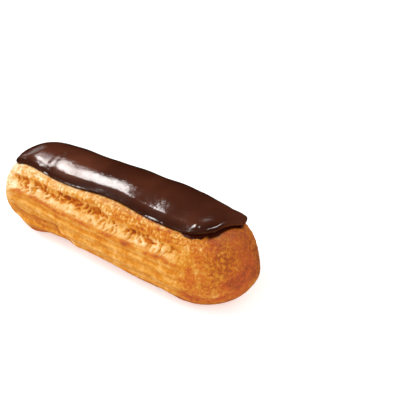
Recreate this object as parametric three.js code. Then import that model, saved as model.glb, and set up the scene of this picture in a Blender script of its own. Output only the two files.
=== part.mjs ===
// A chocolate eclair lying on its flat base: a baked choux shell with a tray of set chocolate icing on top.
// Millimetres, +Z up. X runs along the eclair from its back end to its browned front end, the side that
// shows its torn crust best faces -Y, and the origin is the middle of the base.
//
// Places on the shell are given by x and by the angle round the section: 0 is level on the -Y side,
// 90 is the top, 180 is level on the +Y side and -90 is the underside.

import * as THREE from 'three';
import { mergeVertices } from 'three/addons/utils/BufferGeometryUtils.js';

const { degToRad, lerp, smoothstep } = THREE.MathUtils;

// Driving sizes of the plain shell
const LENGTH = 140;
const HALF_LENGTH = LENGTH / 2;
const HALF_WIDTH = 20.5;
const BELLY_HEIGHT = 13; // the widest line, above the base
const CROWN_RISE = 23.4; // from the widest line up to the crown
const KEEL_DROP = 15; // from the widest line down to the keel that the flat base cuts off
const FRONT_CAP = 24.5;
const BACK_CAP = 27;
const TAPER = 0.044; // the front end is fatter than the middle by this share, the back end thinner
const SHOULDER = 0.5; // extra fullness halfway up each shoulder
const BASE_EDGE = 0.5; // height over which the flank rolls into the flat base
const BASE_FLAT = 0.1; // anything that stays lower than this belongs to the flat base
const POLE_BLEND = 0.65; // share of the section's radius at which the relief reaches its full height
const KEEL_BLEND = 15; // degrees over which the sides' relief starts, next to the keel

// Swelling of the middle, where the dough rose most
const CROWN_SWELLS = [
  { x: 15, reach: 32, height: 1.75 },
  { x: -36, reach: 12, height: 0.5 },
  { x: -62, reach: 15, height: -0.4 },
];
const SWELL_END = { from: 36, to: 50 };

// The lower flank is drawn in, more so along the waist, with a corner and a notch near the back end
const TUCK = { level: -48, spread: 24, depth: 0.25 };
const NEAR_WAIST = { from: -41, to: 9, blend: 8, depth: 1.5 };
const FAR_WAIST = { from: -24, to: 34, blend: 12, depth: 0.9 };
const NOTCH = { x: -51, reach: 3.4, depth: 1.3 };
const FOOT_CORNER = { x: -43.5, reach: 3.2, height: 0.9 };

// Piped ribs, level being the angle above or below the widest line on their own side
const NEAR_RIBS = [
  { level: 44.5, spread: 5.5, height: 0.8, from: -64, to: 50 },
  { level: 16.5, spread: 3.3, height: 1.05, from: -63, to: 56 },
  { level: 7.2, spread: 3.1, height: 0.85, from: -61, to: 57 },
  { level: -4.5, spread: 5.5, height: 0.95, from: -27, to: 60 },
  { level: -21, spread: 6.5, height: 0.75, from: -18, to: 54 },
];
const FAR_RIBS = [
  { level: 45.5, spread: 5.5, height: 0.7, from: -62, to: 52 },
  { level: 19, spread: 3.8, height: 0.95, from: -60, to: 58 },
  { level: 8, spread: 3.4, height: 0.8, from: -64, to: 55 },
  { level: -3.5, spread: 4.6, height: 0.85, from: -58, to: 60 },
  { level: -17, spread: 6, height: 0.7, from: -50, to: 56 },
];
const RIB_FADE = 9;
const RIB_BEND = { x: -40, reach: 13, lift: 3.5, drop: 9, from: -62, to: -50 };

// The band where the crust tore open while baking, with its webbed floor and the larger hollows in it
const NEAR_TEAR = {
  lower: 20, upper: 40, narrow: 5, narrowFrom: 0, narrowTo: 12, from: -62, to: 53, depth: 1.25,
};
const FAR_TEAR = {
  lower: 23.5, upper: 39, narrow: 4, narrowFrom: -30, narrowTo: -12, from: -52, to: 56, depth: 1.15,
};
const TEAR_EDGE = 4; // degrees over which the tear's wall drops
const TEAR_FADE = 9;
const TEAR_BEND = 0.6; // how much of the ribs' bend the tear's lower edge follows
const WEB = { pitch: 7.4, slant: 0.12, height: 0.45, swing: 1.4, swingLength: 27.3 };
const NEAR_HOLLOWS = [
  { x: -14, level: 36, length: 6.5, height: 4.6, depth: 1.1 },
  { x: 0.5, level: 36, length: 3.3, height: 4.6, depth: 1.2 },
  { x: -28, level: 31.5, length: 3.4, height: 3.8, depth: 0.8 },
  { x: -35, level: 33, length: 3.6, height: 3.8, depth: 0.8 },
  { x: 20, level: 31, length: 3.4, height: 3.4, depth: 0.7 },
  { x: 31.5, level: 28.5, length: 4.6, height: 3.8, depth: 0.9 },
];
const FAR_HOLLOWS = [
  { x: 24, level: 34, length: 6.2, height: 4.4, depth: 1.1 },
  { x: 7, level: 32, length: 3.4, height: 4.0, depth: 0.9 },
  { x: -21, level: 33, length: 4.6, height: 3.8, depth: 0.9 },
  { x: 42, level: 30, length: 3.2, height: 3.6, depth: 0.8 },
];

// The lobe of dough that overlaps the back part of the near flank, and the recess beside it
const LOBE = { x: -20.5, level: 2, slant: 0.42, blend: 2.6 };
const RECESS = { back: -57, blend: 8, upper: 2.5, lower: -17, edge: 3.5, depth: 1.15 };

// The browned front cap: a seam above its foot, and a short crease higher up
const SEAM = {
  y: -13, z: 6.1, curve: 0.065, width: 1.3, depth: 0.6, from: 50, to: 55, near: -21, far: -3, blend: 3,
};
const CREASE = {
  y: -11, z: 13.6, slope: 0.38, width: 1.2, depth: 0.7, from: 62, to: 65, near: -13, far: 1, blend: 3,
};

// The two caps are as wide as the crests of the ribs that run out into them
const CAP_FULLNESS = { height: 0.6, backFrom: -67, backTo: -54, frontFrom: 46, frontTo: 57 };

// Slow unevenness of the whole shell: waves per mm, waves round the section, phase and height
const UNEVENNESS = [
  { along: 0.0215, around: 1, phase: 1.1, height: 0.12 },
  { along: 0.0345, around: 2, phase: 3.9, height: 0.12 },
  { along: 0.0520, around: 3, phase: 0.4, height: 0.09 },
];

// Chocolate icing, laid over the crown
const ICING = {
  back: -63.4,
  front: 59.4,
  backCorner: 9,
  frontCorner: 9,
  edge: 51, // mean level of its two long edges
  arc: 0.4, // mm round the shell for each degree
  gap: 0.32,
  thickness: 1.55,
  lip: 0.75, // how much thicker the front rim is
  thinEdge: 0.75, // how much thinner the long edges are
  edgeFrom: 0.7, // share of the way to the rim where these changes start
  edgeTo: 0.9,
  roundFrom: 0.955, // share of the way to the rim where its rounding starts
};
const ICING_REACH = (90 - ICING.edge) * ICING.arc; // from the crown to a long edge, round the shell
const NEAR_EDGE_WAVE = { height: 2.1, length: 58, shift: 8 };
const FAR_EDGE_WAVE = { height: 1.8, length: 71, shift: -16 };
const FRONT_SKEW = { slope: 0.1, from: 40, to: 60 };

// Fineness of the meshes
const ALONG_STEPS = 62;
const SECTION_BANDS = [
  { to: -25, steps: 5 },
  { to: 52, steps: 30 },
  { to: 128, steps: 9 },
  { to: 205, steps: 30 },
  { to: 270, steps: 5 },
];
const RIM_STEPS = 112;
const UNDER_RINGS = [0, 0.3, 0.6, 0.85]; // shares of the way to the rim
const TOP_RINGS = [0.88, 0.74, 0.5, 0.25, 0];
const ROUND_STEPS = 5;
const WELD = 1e-4;

const CRUST_COLOUR = 0xe2a257;
const ICING_COLOUR = 0x3a1a10;

const bell = (t) => Math.exp(-t * t);
const rise = (value, from, to) => smoothstep(value, from, to);
const span = (value, from, to, blend) => rise(value, from - blend, from) * (1 - rise(value, to, to + blend));

// Radius of the section at x as a share of the full section, and how it changes along x
function sectionScale(x) {
  const cap = x > 0 ? FRONT_CAP : BACK_CAP;
  const into = Math.min(Math.max((Math.abs(x) - (HALF_LENGTH - cap)) / cap, 0), 1);
  const round = Math.sqrt(1 - into * into);
  const taper = 1 + (TAPER * x) / HALF_LENGTH;
  return { round, into, cap, taper, scale: round * taper };
}

// Plain point of the shell and the direction in which it faces
function plainShell(x, angle) {
  const { round, into, cap, taper, scale } = sectionScale(x);
  const [c, s] = [Math.cos(degToRad(angle)), Math.sin(degToRad(angle))];
  const halfHeight = s > 0 ? CROWN_RISE : KEEL_DROP;
  const facing = new THREE.Vector3(
    ((into * Math.sign(x)) / cap) * taper - (round * round * TAPER) / HALF_LENGTH,
    (-round * c) / HALF_WIDTH,
    (round * s) / halfHeight,
  ).normalize();
  const point = new THREE.Vector3(x, -HALF_WIDTH * scale * c, BELLY_HEIGHT + scale * halfHeight * s);
  return { point, facing, round };
}

// How far the ribs climb or sink towards the back end, in degrees
function ribBend(x) {
  const climb = RIB_BEND.lift * bell((x - RIB_BEND.x) / RIB_BEND.reach);
  return climb - RIB_BEND.drop * (1 - rise(x, RIB_BEND.from, RIB_BEND.to));
}

function ribs(list, x, level) {
  let height = 0;
  for (const rib of list) {
    const shown = span(x, rib.from + RIB_FADE, rib.to - RIB_FADE, RIB_FADE);
    height += shown * rib.height * bell((level - rib.level - ribBend(x)) / rib.spread);
  }
  return height;
}

// The torn band: a trough with slanting webs on its floor and a few deeper hollows
function tear(band, hollows, x, level) {
  const lower = band.lower + TEAR_BEND * ribBend(x);
  const upper = band.upper - band.narrow * rise(x, band.narrowFrom, band.narrowTo);
  const inside = rise(level, lower, lower + TEAR_EDGE) * (1 - rise(level, upper - TEAR_EDGE, upper));
  const shown = inside * span(x, band.from + TEAR_FADE, band.to - TEAR_FADE, TEAR_FADE);
  const turn = (2 * Math.PI * (x - WEB.slant * (level - band.lower))) / WEB.pitch;
  const swing = WEB.swing * Math.sin((2 * Math.PI * x) / WEB.swingLength);
  let depth = shown * (band.depth - WEB.height * Math.sin(turn + swing));
  for (const pit of hollows) {
    depth += pit.depth * bell((x - pit.x) / pit.length) * bell((level - pit.level) / pit.height);
  }
  return depth;
}

// The step where the lobe begins: the recess lies behind it and below the ribs
function recess(x, level) {
  const step = LOBE.x + LOBE.slant * (LOBE.level - level);
  const behind = 1 - rise(x, step - LOBE.blend, step);
  const height = span(level, RECESS.lower, RECESS.upper - RECESS.edge, RECESS.edge);
  return RECESS.depth * behind * height * rise(x, RECESS.back, RECESS.back + RECESS.blend);
}

// The drawn-in lower flank on one side
function tuck(waist, x, level) {
  const depth = TUCK.depth + waist.depth * span(x, waist.from + waist.blend, waist.to, waist.blend);
  return depth * bell((level - TUCK.level) / TUCK.spread);
}

function nearSide(x, level) {
  const low = bell((level - TUCK.level) / TUCK.spread);
  const corner = FOOT_CORNER.height * bell((x - FOOT_CORNER.x) / FOOT_CORNER.reach);
  const notch = NOTCH.depth * bell((x - NOTCH.x) / NOTCH.reach);
  return ribs(NEAR_RIBS, x, level) - tear(NEAR_TEAR, NEAR_HOLLOWS, x, level) - recess(x, level)
    - tuck(NEAR_WAIST, x, level) + (corner - notch) * low;
}

function farSide(x, level) {
  return ribs(FAR_RIBS, x, level) - tear(FAR_TEAR, FAR_HOLLOWS, x, level) - tuck(FAR_WAIST, x, level);
}

// Grooves that cross the front cap, followed by height
function capGroove(groove, x, y, z, line) {
  const across = span(y, groove.near + groove.blend, groove.far, groove.blend);
  return across * rise(x, groove.from, groove.to) * groove.depth * bell((z - line) / groove.width);
}

function capGrooves(point) {
  const { x, y, z } = point;
  const seamLine = SEAM.z + SEAM.curve * (y - SEAM.y) ** 2;
  const creaseLine = CREASE.z + CREASE.slope * (y - CREASE.y);
  return capGroove(SEAM, x, y, z, seamLine) + capGroove(CREASE, x, y, z, creaseLine);
}

function swell(x, angle) {
  let height = 0;
  for (const bulge of CROWN_SWELLS) {
    height += bulge.height * bell((x - bulge.x) / bulge.reach);
  }
  return height * (1 - rise(x, SWELL_END.from, SWELL_END.to)) * Math.max(Math.sin(degToRad(angle)), 0);
}

function capFullness(x, angle) {
  const { height, backFrom, backTo, frontFrom, frontTo } = CAP_FULLNESS;
  const shown = 1 - rise(x, backFrom, backTo) + rise(x, frontFrom, frontTo);
  return height * shown * Math.cos(degToRad(angle)) ** 2;
}

function unevenness(x, angle) {
  let height = 0;
  for (const wave of UNEVENNESS) {
    const turn = 2 * Math.PI * wave.along * x + wave.around * degToRad(angle);
    height += wave.height * Math.sin(turn + wave.phase);
  }
  return height;
}

// Everything that the baked surface stands out from the plain shell, in mm
function relief(x, angle, point, round) {
  const onNearSide = Math.cos(degToRad(angle)) >= 0;
  const level = onNearSide ? angle : 180 - angle;
  const side = (onNearSide ? nearSide(x, level) : farSide(x, level)) * rise(level, -90, KEEL_BLEND - 90);
  const shoulder = Math.sin(degToRad(angle)) > 0 ? SHOULDER * Math.sin(2 * degToRad(angle)) ** 2 : 0;
  const whole = shoulder + swell(x, angle) + capFullness(x, angle) + unevenness(x, angle);
  return (side + whole - capGrooves(point)) * rise(round, 0, POLE_BLEND);
}

// The flank rolls into the flat base
function flattenBase(z) {
  if (z >= BASE_EDGE) return z;
  const height = Math.max(z + BASE_EDGE, 0) ** 2 / (4 * BASE_EDGE);
  return height < BASE_FLAT ? 0 : height;
}

// A point on the shell, or standing off it by a height
function onShell(x, angle, standOff = 0) {
  const { point, facing, round } = plainShell(x, angle);
  point.addScaledVector(facing, relief(x, angle, point, round) + standOff);
  point.z = flattenBase(point.z);
  return point;
}

// Welds the seams of a remapped geometry and drops the triangles that the poles leave without area
function closeMesh(geometry) {
  geometry.deleteAttribute('uv');
  geometry.deleteAttribute('normal');
  const welded = mergeVertices(geometry, WELD);
  const kept = [];
  for (let i = 0; i < welded.index.count; i += 3) {
    const [a, b, c] = [welded.index.getX(i), welded.index.getX(i + 1), welded.index.getX(i + 2)];
    if (a !== b && b !== c && c !== a) kept.push(a, b, c);
  }
  welded.setIndex(kept);
  welded.computeVertexNormals();
  return welded;
}

// Section angles, closer together where the ribs and the torn band are
function sectionAngles() {
  const angles = [-90];
  for (const { to, steps } of SECTION_BANDS) {
    const from = angles.at(-1);
    for (let i = 1; i <= steps; i += 1) angles.push(lerp(from, to, i / steps));
  }
  return angles;
}

// Stations along the eclair, evenly spaced over the outline seen from above
function stations() {
  const [back, front] = [BACK_CAP - HALF_LENGTH, HALF_LENGTH - FRONT_CAP];
  const outline = new THREE.Path();
  outline.absellipse(back, 0, BACK_CAP, HALF_WIDTH, Math.PI, Math.PI / 2, true);
  outline.lineTo(front, HALF_WIDTH);
  outline.absellipse(front, 0, FRONT_CAP, HALF_WIDTH, Math.PI / 2, 0, true);
  return outline.getSpacedPoints(ALONG_STEPS).map((point) => point.x);
}

// The baked shell, drawn over a sphere whose poles are the two ends
function chouxShell() {
  const angles = sectionAngles();
  const along = stations();
  const around = angles.length - 1;
  const geometry = new THREE.SphereGeometry(1, around, ALONG_STEPS);
  const { position } = geometry.attributes;
  for (let i = 0; i < position.count; i += 1) {
    const [row, column] = [Math.floor(i / (around + 1)), i % (around + 1)];
    const point = onShell(along[row], angles[column % around]);
    position.setXYZ(i, point.x, point.y, point.z);
  }
  return closeMesh(geometry);
}

// Outline of the icing laid out flat: x along the eclair, y round it from the crown
function icingOutline() {
  const { back, front, backCorner, frontCorner } = ICING;
  const farHalf = new THREE.Path();
  farHalf.moveTo(front, 0);
  farHalf.lineTo(front, ICING_REACH - frontCorner);
  farHalf.absarc(front - frontCorner, ICING_REACH - frontCorner, frontCorner, 0, Math.PI / 2, false);
  farHalf.absarc(back + backCorner, ICING_REACH - backCorner, backCorner, Math.PI / 2, Math.PI, false);
  farHalf.lineTo(back, 0);
  const far = farHalf.getSpacedPoints(RIM_STEPS / 2);
  const near = far.slice(1, -1).reverse();
  return [...far, ...near.map((point) => new THREE.Vector2(point.x, -point.y))];
}

// Half the icing's section from its middle to its rim and back: share of the reach, share of the thickness
function icingProfile() {
  const { roundFrom } = ICING;
  const rim = new THREE.EllipseCurve(roundFrom, 0.5, 1 - roundFrom, 0.5, -Math.PI / 2, Math.PI / 2);
  const under = UNDER_RINGS.map((reach) => new THREE.Vector2(reach, 0));
  const top = TOP_RINGS.map((reach) => new THREE.Vector2(reach, 1));
  return [...under, ...rim.getPoints(ROUND_STEPS), ...top];
}

// Level of the icing's long edge on the side that a point of the flat outline lies on
function edgeLevel(x, y) {
  const wave = y < 0 ? NEAR_EDGE_WAVE : FAR_EDGE_WAVE;
  return ICING.edge + wave.height * Math.sin((2 * Math.PI * (x + wave.shift)) / wave.length);
}

// Places a point of the flat icing on the shell
function onIcing(x, y, reach, share) {
  const angle = 90 + (y / ICING_REACH) * (90 - edgeLevel(x, y));
  const along = x + FRONT_SKEW.slope * y * rise(x, FRONT_SKEW.from, FRONT_SKEW.to);
  const rim = rise(reach, ICING.edgeFrom, ICING.edgeTo);
  const frontness = rise(along, HALF_LENGTH - FRONT_CAP, ICING.front);
  const thickness = ICING.thickness + rim * lerp(-ICING.thinEdge, ICING.lip, frontness);
  return onShell(along, angle, ICING.gap + share * thickness);
}

// The icing, drawn over a turned lens whose rim is led along the outline
function chocolateIcing() {
  const profile = icingProfile();
  const outline = icingOutline();
  const [middleFrom, middleTo] = [ICING.back + ICING_REACH, ICING.front - ICING_REACH];
  const geometry = new THREE.LatheGeometry(profile, RIM_STEPS);
  const { position } = geometry.attributes;
  for (let i = 0; i < position.count; i += 1) {
    const { x: reach, y: share } = profile[i % profile.length];
    const rim = outline[Math.floor(i / profile.length) % RIM_STEPS];
    const heart = Math.min(Math.max(rim.x, middleFrom), middleTo);
    const point = onIcing(lerp(heart, rim.x, reach), rim.y * reach, reach, share);
    position.setXYZ(i, point.x, point.y, point.z);
  }
  return closeMesh(geometry);
}

function piece(name, geometry, color, roughness) {
  const mesh = new THREE.Mesh(geometry, new THREE.MeshStandardMaterial({ color, roughness, metalness: 0 }));
  mesh.name = name;
  return mesh;
}

const eclair = new THREE.Group();
eclair.add(piece('choux_shell', chouxShell(), CRUST_COLOUR, 0.75));
eclair.add(piece('chocolate_icing', chocolateIcing(), ICING_COLOUR, 0.15));

// The middle of the base goes to the origin
const box = new THREE.Box3().setFromObject(eclair);
const centre = box.getCenter(new THREE.Vector3());
eclair.position.set(-centre.x, -centre.y, -box.min.z);

export default eclair;
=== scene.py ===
"""Looks of the chocolate eclair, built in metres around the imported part.

The crust and the icing take the part's own form, from the same named sizes, and carry it on to the grain of
the baked dough: the webbed crumb of the torn bands, blisters, pores and wrinkles, and the soft waves of set
icing. Places on the shell are given by x and by the angle round the section: 0 is level on the -Y side, 90
is the top, 180 is level on the +Y side and -90 is the underside. Sizes of the form are in millimetres.
"""

from __future__ import annotations

import logging
from dataclasses import dataclass
from enum import Enum

import bpy
import numpy as np
from mathutils import Matrix, Vector, noise

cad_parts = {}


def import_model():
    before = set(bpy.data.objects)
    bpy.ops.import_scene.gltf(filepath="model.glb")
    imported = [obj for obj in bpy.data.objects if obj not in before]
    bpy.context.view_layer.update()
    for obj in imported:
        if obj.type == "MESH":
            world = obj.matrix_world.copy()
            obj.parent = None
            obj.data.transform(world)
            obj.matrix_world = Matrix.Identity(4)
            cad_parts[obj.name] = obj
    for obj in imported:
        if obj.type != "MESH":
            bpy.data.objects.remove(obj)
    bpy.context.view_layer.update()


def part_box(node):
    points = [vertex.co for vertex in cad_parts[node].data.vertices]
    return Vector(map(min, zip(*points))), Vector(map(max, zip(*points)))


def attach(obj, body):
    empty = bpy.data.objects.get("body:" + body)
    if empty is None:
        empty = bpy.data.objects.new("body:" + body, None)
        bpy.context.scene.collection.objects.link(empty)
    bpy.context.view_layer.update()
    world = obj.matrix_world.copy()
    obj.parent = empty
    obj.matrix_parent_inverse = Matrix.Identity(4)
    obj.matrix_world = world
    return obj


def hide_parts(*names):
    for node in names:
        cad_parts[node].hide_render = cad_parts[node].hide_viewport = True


log = logging.getLogger("eclair")

Array = np.ndarray
Colour = tuple[float, float, float]
Span = tuple[float, float]
MM = 0.001
CELL_MIX = (12.9898, 78.233, 37.719)
CELL_SPREAD = 437.58
BUMP_STRENGTH = 0.6


def smooth(value: Array | float, start: Array | float, stop: Array | float) -> Array:
    """Ease from 0 at start to 1 at stop."""
    t = np.clip((np.asarray(value, dtype=float) - start) / (stop - start), 0.0, 1.0)
    return t * t * (3.0 - 2.0 * t)


def bell(t: Array | float) -> Array:
    """Bell curve of height 1 round zero."""
    return np.exp(-np.square(t))


def window(value: Array, start: float, stop: float, blend: float) -> Array:
    """Ease up to 1 before start and back down after stop."""
    return smooth(value, start - blend, start) * (1.0 - smooth(value, stop, stop + blend))


def linear(red: int, green: int, blue: int) -> Colour:
    """Linear colour from display values of 0 to 255."""
    parts = [value / 255 for value in (red, green, blue)]
    return tuple(part / 12.92 if part <= 0.04045 else ((part + 0.055) / 1.055) ** 2.4 for part in parts)


@dataclass(frozen=True)
class Cloud:
    """Soft noise of about -1 to 1, by the width of its lumps, its number of layers and where it is taken."""

    size: float
    octaves: int = 3
    shift: float = 0.0

    def at(self, points: Array) -> Array:
        """The noise at each point."""
        scaled = points / self.size + self.shift
        return np.array([noise.fractal(Vector(row), 1.0, 2.0, self.octaves) for row in scaled])


@dataclass(frozen=True)
class Cells:
    """Rounded cells, by their width and where they are taken."""

    size: float = 1.0
    shift: float = 0.0

    def at(self, points: Array) -> tuple[Array, Array, Array]:
        """Find the cell of each point.

        Args:
            points: One row of three coordinates for each point.

        Returns:
            Distances to the nearest and the second nearest cell centre, in cells, and a number of 0 to 1 that
            is the same all over a cell.
        """
        found = [noise.voronoi(Vector(row)) for row in points / self.size + self.shift]
        near = np.array([distances[:2] for distances, _ in found])
        centre = np.array([tuple(centres[0]) for _, centres in found])
        own = np.modf(np.abs(np.sin(centre @ CELL_MIX) * CELL_SPREAD))[0]
        return near[:, 0], near[:, 1], own


@dataclass(frozen=True)
class Rib:
    """A piped rib, its level being the angle above or below the widest line on its own side."""

    level: float
    spread: float
    height: float
    start: float
    stop: float


@dataclass(frozen=True)
class Tear:
    """A band where the crust tore open while baking."""

    lower: float
    upper: float
    narrow: float
    narrow_start: float
    narrow_stop: float
    start: float
    stop: float
    depth: float
    edge: float = 4.0
    fade: float = 9.0
    bend: float = 0.6


@dataclass(frozen=True)
class Hollow:
    """A larger hollow in a torn band."""

    x: float
    level: float
    length: float
    height: float
    depth: float


@dataclass(frozen=True)
class Waist:
    """Where the lower flank is drawn in."""

    start: float
    stop: float
    blend: float
    depth: float


@dataclass(frozen=True)
class Groove:
    """A groove across the front cap, followed by height."""

    y: float
    z: float
    slope: float
    curve: float
    width: float
    depth: float
    start: float
    stop: float
    near: float
    far: float
    blend: float = 3.0


@dataclass(frozen=True)
class Wave:
    """One slow wave of the shell's unevenness."""

    along: float
    around: int
    phase: float
    height: float


@dataclass(frozen=True)
class ShellForm:
    """The baked shell's form, as the part's source gives it."""

    length: float = 140.0
    half_width: float = 20.5
    belly_height: float = 13.0
    crown_rise: float = 23.4
    keel_drop: float = 15.0
    front_cap: float = 24.5
    back_cap: float = 27.0
    taper: float = 0.044
    shoulder: float = 0.5
    base_edge: float = 0.5
    pole_blend: float = 0.65
    keel_blend: float = 15.0
    crown_swells: tuple[tuple[float, float, float], ...] = ((15, 32, 1.75), (-36, 12, 0.5), (-62, 15, -0.4))
    swell_end: tuple[float, float] = (36, 50)
    tuck: tuple[float, float, float] = (-48, 24, 0.25)
    near_waist: Waist = Waist(-41, 9, 8, 1.5)
    far_waist: Waist = Waist(-24, 34, 12, 0.9)
    notch: tuple[float, float, float] = (-51, 3.4, 1.3)
    foot_corner: tuple[float, float, float] = (-43.5, 3.2, 0.9)
    near_ribs: tuple[Rib, ...] = (
        Rib(44.5, 5.5, 0.8, -64, 50),
        Rib(16.5, 3.3, 1.05, -63, 56),
        Rib(7.2, 3.1, 0.85, -61, 57),
        Rib(-4.5, 5.5, 0.95, -27, 60),
        Rib(-21, 6.5, 0.75, -18, 54),
    )
    far_ribs: tuple[Rib, ...] = (
        Rib(45.5, 5.5, 0.7, -62, 52),
        Rib(19, 3.8, 0.95, -60, 58),
        Rib(8, 3.4, 0.8, -64, 55),
        Rib(-3.5, 4.6, 0.85, -58, 60),
        Rib(-17, 6, 0.7, -50, 56),
    )
    rib_fade: float = 9.0
    bend_x: float = -40.0
    bend_reach: float = 13.0
    bend_lift: float = 3.5
    bend_drop: float = 9.0
    bend_ends: tuple[float, float] = (-62, -50)
    near_tear: Tear = Tear(20, 40, 5, 0, 12, -62, 53, 1.25)
    far_tear: Tear = Tear(23.5, 39, 4, -30, -12, -52, 56, 1.15)
    web_pitch: float = 7.4
    web_slant: float = 0.12
    web_height: float = 0.2
    web_swing: float = 1.4
    web_swing_length: float = 27.3
    near_hollows: tuple[Hollow, ...] = (
        Hollow(-14, 36, 6.5, 4.6, 1.1),
        Hollow(0.5, 36, 3.3, 4.6, 1.2),
        Hollow(-28, 31.5, 3.4, 3.8, 0.8),
        Hollow(-35, 33, 3.6, 3.8, 0.8),
        Hollow(20, 31, 3.4, 3.4, 0.7),
        Hollow(31.5, 28.5, 4.6, 3.8, 0.9),
    )
    far_hollows: tuple[Hollow, ...] = (
        Hollow(24, 34, 6.2, 4.4, 1.1),
        Hollow(7, 32, 3.4, 4.0, 0.9),
        Hollow(-21, 33, 4.6, 3.8, 0.9),
        Hollow(42, 30, 3.2, 3.6, 0.8),
    )
    lobe_x: float = -20.5
    lobe_level: float = 2.0
    lobe_slant: float = 0.42
    lobe_blend: float = 2.6
    recess_back: float = -57.0
    recess_blend: float = 8.0
    recess_upper: float = 2.5
    recess_lower: float = -17.0
    recess_edge: float = 3.5
    recess_depth: float = 1.15
    seam: Groove = Groove(-13, 6.1, 0, 0.065, 1.3, 0.6, 50, 55, -21, -3)
    crease: Groove = Groove(-11, 13.6, 0.38, 0, 1.2, 0.7, 62, 65, -13, 1)
    cap_fullness: float = 0.6
    cap_fullness_back: tuple[float, float] = (-67, -54)
    cap_fullness_front: tuple[float, float] = (46, 57)
    unevenness: tuple[Wave, ...] = (
        Wave(0.0215, 1, 1.1, 0.12),
        Wave(0.0345, 2, 3.9, 0.12),
        Wave(0.0520, 3, 0.4, 0.09),
    )

    def section(self, x: Array) -> tuple[Array, Array, Array, Array]:
        """Roundness of the ends, share of the cap passed, cap length and taper at x.

        Args:
            x: Places along the eclair, in mm.

        Returns:
            Roundness of the ends, share of the cap passed, cap length and taper.
        """
        cap = np.where(x > 0, self.front_cap, self.back_cap)
        into = np.clip((np.abs(x) - (self.length / 2 - cap)) / cap, 0, 1)
        return np.sqrt(1 - into * into), into, cap, 1 + self.taper * x / (self.length / 2)

    def plain(self, x: Array, angle: Array) -> tuple[Array, Array, Array]:
        """Plain points of the shell, the directions they face, and the ends' roundness there.

        Args:
            x: Places along the eclair, in mm.
            angle: Angles round the section, in degrees.

        Returns:
            Points in mm, the directions they face, and the ends' roundness there.
        """
        roundness, into, cap, taper = self.section(x)
        c, s = np.cos(np.radians(angle)), np.sin(np.radians(angle))
        half_height = np.where(s > 0, self.crown_rise, self.keel_drop)
        lengthwise = into * np.sign(x) / cap * taper - roundness ** 2 * self.taper / (self.length / 2)
        facing = np.stack([lengthwise, -roundness * c / self.half_width, roundness * s / half_height], -1)
        facing /= np.linalg.norm(facing, axis=-1, keepdims=True)
        scale = roundness * taper
        point = np.stack([x, -self.half_width * scale * c, self.belly_height + scale * half_height * s], -1)
        return point, facing, roundness

    def rib_bend(self, x: Array) -> Array:
        """How far the ribs climb or sink towards the back end, in degrees."""
        climb = self.bend_lift * bell((x - self.bend_x) / self.bend_reach)
        return climb - self.bend_drop * (1 - smooth(x, *self.bend_ends))

    def rib_height(self, ribs: tuple[Rib, ...], x: Array, level: Array) -> Array:
        """Height of one side's ribs.

        Args:
            ribs: The side's ribs.
            x: Places along the eclair, in mm.
            level: Angles above the widest line of their side, in degrees.

        Returns:
            Height in mm.
        """
        height = np.zeros_like(x)
        for rib in ribs:
            shown = window(x, rib.start + self.rib_fade, rib.stop - self.rib_fade, self.rib_fade)
            height += shown * rib.height * bell((level - rib.level - self.rib_bend(x)) / rib.spread)
        return height

    def torn(self, tear: Tear, x: Array, level: Array) -> Array:
        """Where a torn band is open, 0 to 1.

        Args:
            tear: The torn band.
            x: Places along the eclair, in mm.
            level: Angles above the widest line of their side, in degrees.

        Returns:
            0 where the crust is whole to 1 where it is open.
        """
        lower = tear.lower + tear.bend * self.rib_bend(x)
        upper = tear.upper - tear.narrow * smooth(x, tear.narrow_start, tear.narrow_stop)
        inside = smooth(level, lower, lower + tear.edge) * (1 - smooth(level, upper - tear.edge, upper))
        return inside * window(x, tear.start + tear.fade, tear.stop - tear.fade, tear.fade)

    def hollow_depth(self, hollows: tuple[Hollow, ...], x: Array, level: Array) -> Array:
        """Depth of the larger hollows.

        Args:
            hollows: The larger hollows of the band.
            x: Places along the eclair, in mm.
            level: Angles above the widest line of their side, in degrees.

        Returns:
            Depth in mm.
        """
        depth = np.zeros_like(x)
        for pit in hollows:
            across = bell((level - pit.level) / pit.height)
            depth += pit.depth * bell((x - pit.x) / pit.length) * across
        return depth

    def tear_depth(self, tear: Tear, hollows: tuple[Hollow, ...], x: Array, level: Array) -> Array:
        """Depth of a torn band with its hollows.

        Args:
            tear: The torn band.
            hollows: The larger hollows of the band.
            x: Places along the eclair, in mm.
            level: Angles above the widest line of their side, in degrees.

        Returns:
            Depth in mm.
        """
        turn = 2 * np.pi * (x - self.web_slant * (level - tear.lower)) / self.web_pitch
        swing = self.web_swing * np.sin(2 * np.pi * x / self.web_swing_length)
        floor = tear.depth - self.web_height * np.sin(turn + swing)
        return self.torn(tear, x, level) * floor + self.hollow_depth(hollows, x, level)

    def recess_share(self, x: Array, level: Array) -> Array:
        """Where the recess behind the lobe lies, 0 to 1.

        Args:
            x: Places along the eclair, in mm.
            level: Angles above the widest line of their side, in degrees.

        Returns:
            0 outside the recess to 1 in it.
        """
        step = self.lobe_x + self.lobe_slant * (self.lobe_level - level)
        behind = 1 - smooth((x - step) / self.lobe_blend, -1, 0)
        edge = self.recess_edge
        height = window(level, self.recess_lower, self.recess_upper - edge, edge)
        return behind * height * smooth(x, self.recess_back, self.recess_back + self.recess_blend)

    def tuck_depth(self, waist: Waist, x: Array, level: Array) -> Array:
        """How far one side's lower flank is drawn in.

        Args:
            waist: The side's waist.
            x: Places along the eclair, in mm.
            level: Angles above the widest line of their side, in degrees.

        Returns:
            Depth in mm.
        """
        middle, spread, depth = self.tuck
        shown = window(x, waist.start + waist.blend, waist.stop, waist.blend)
        return (depth + waist.depth * shown) * bell((level - middle) / spread)

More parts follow.
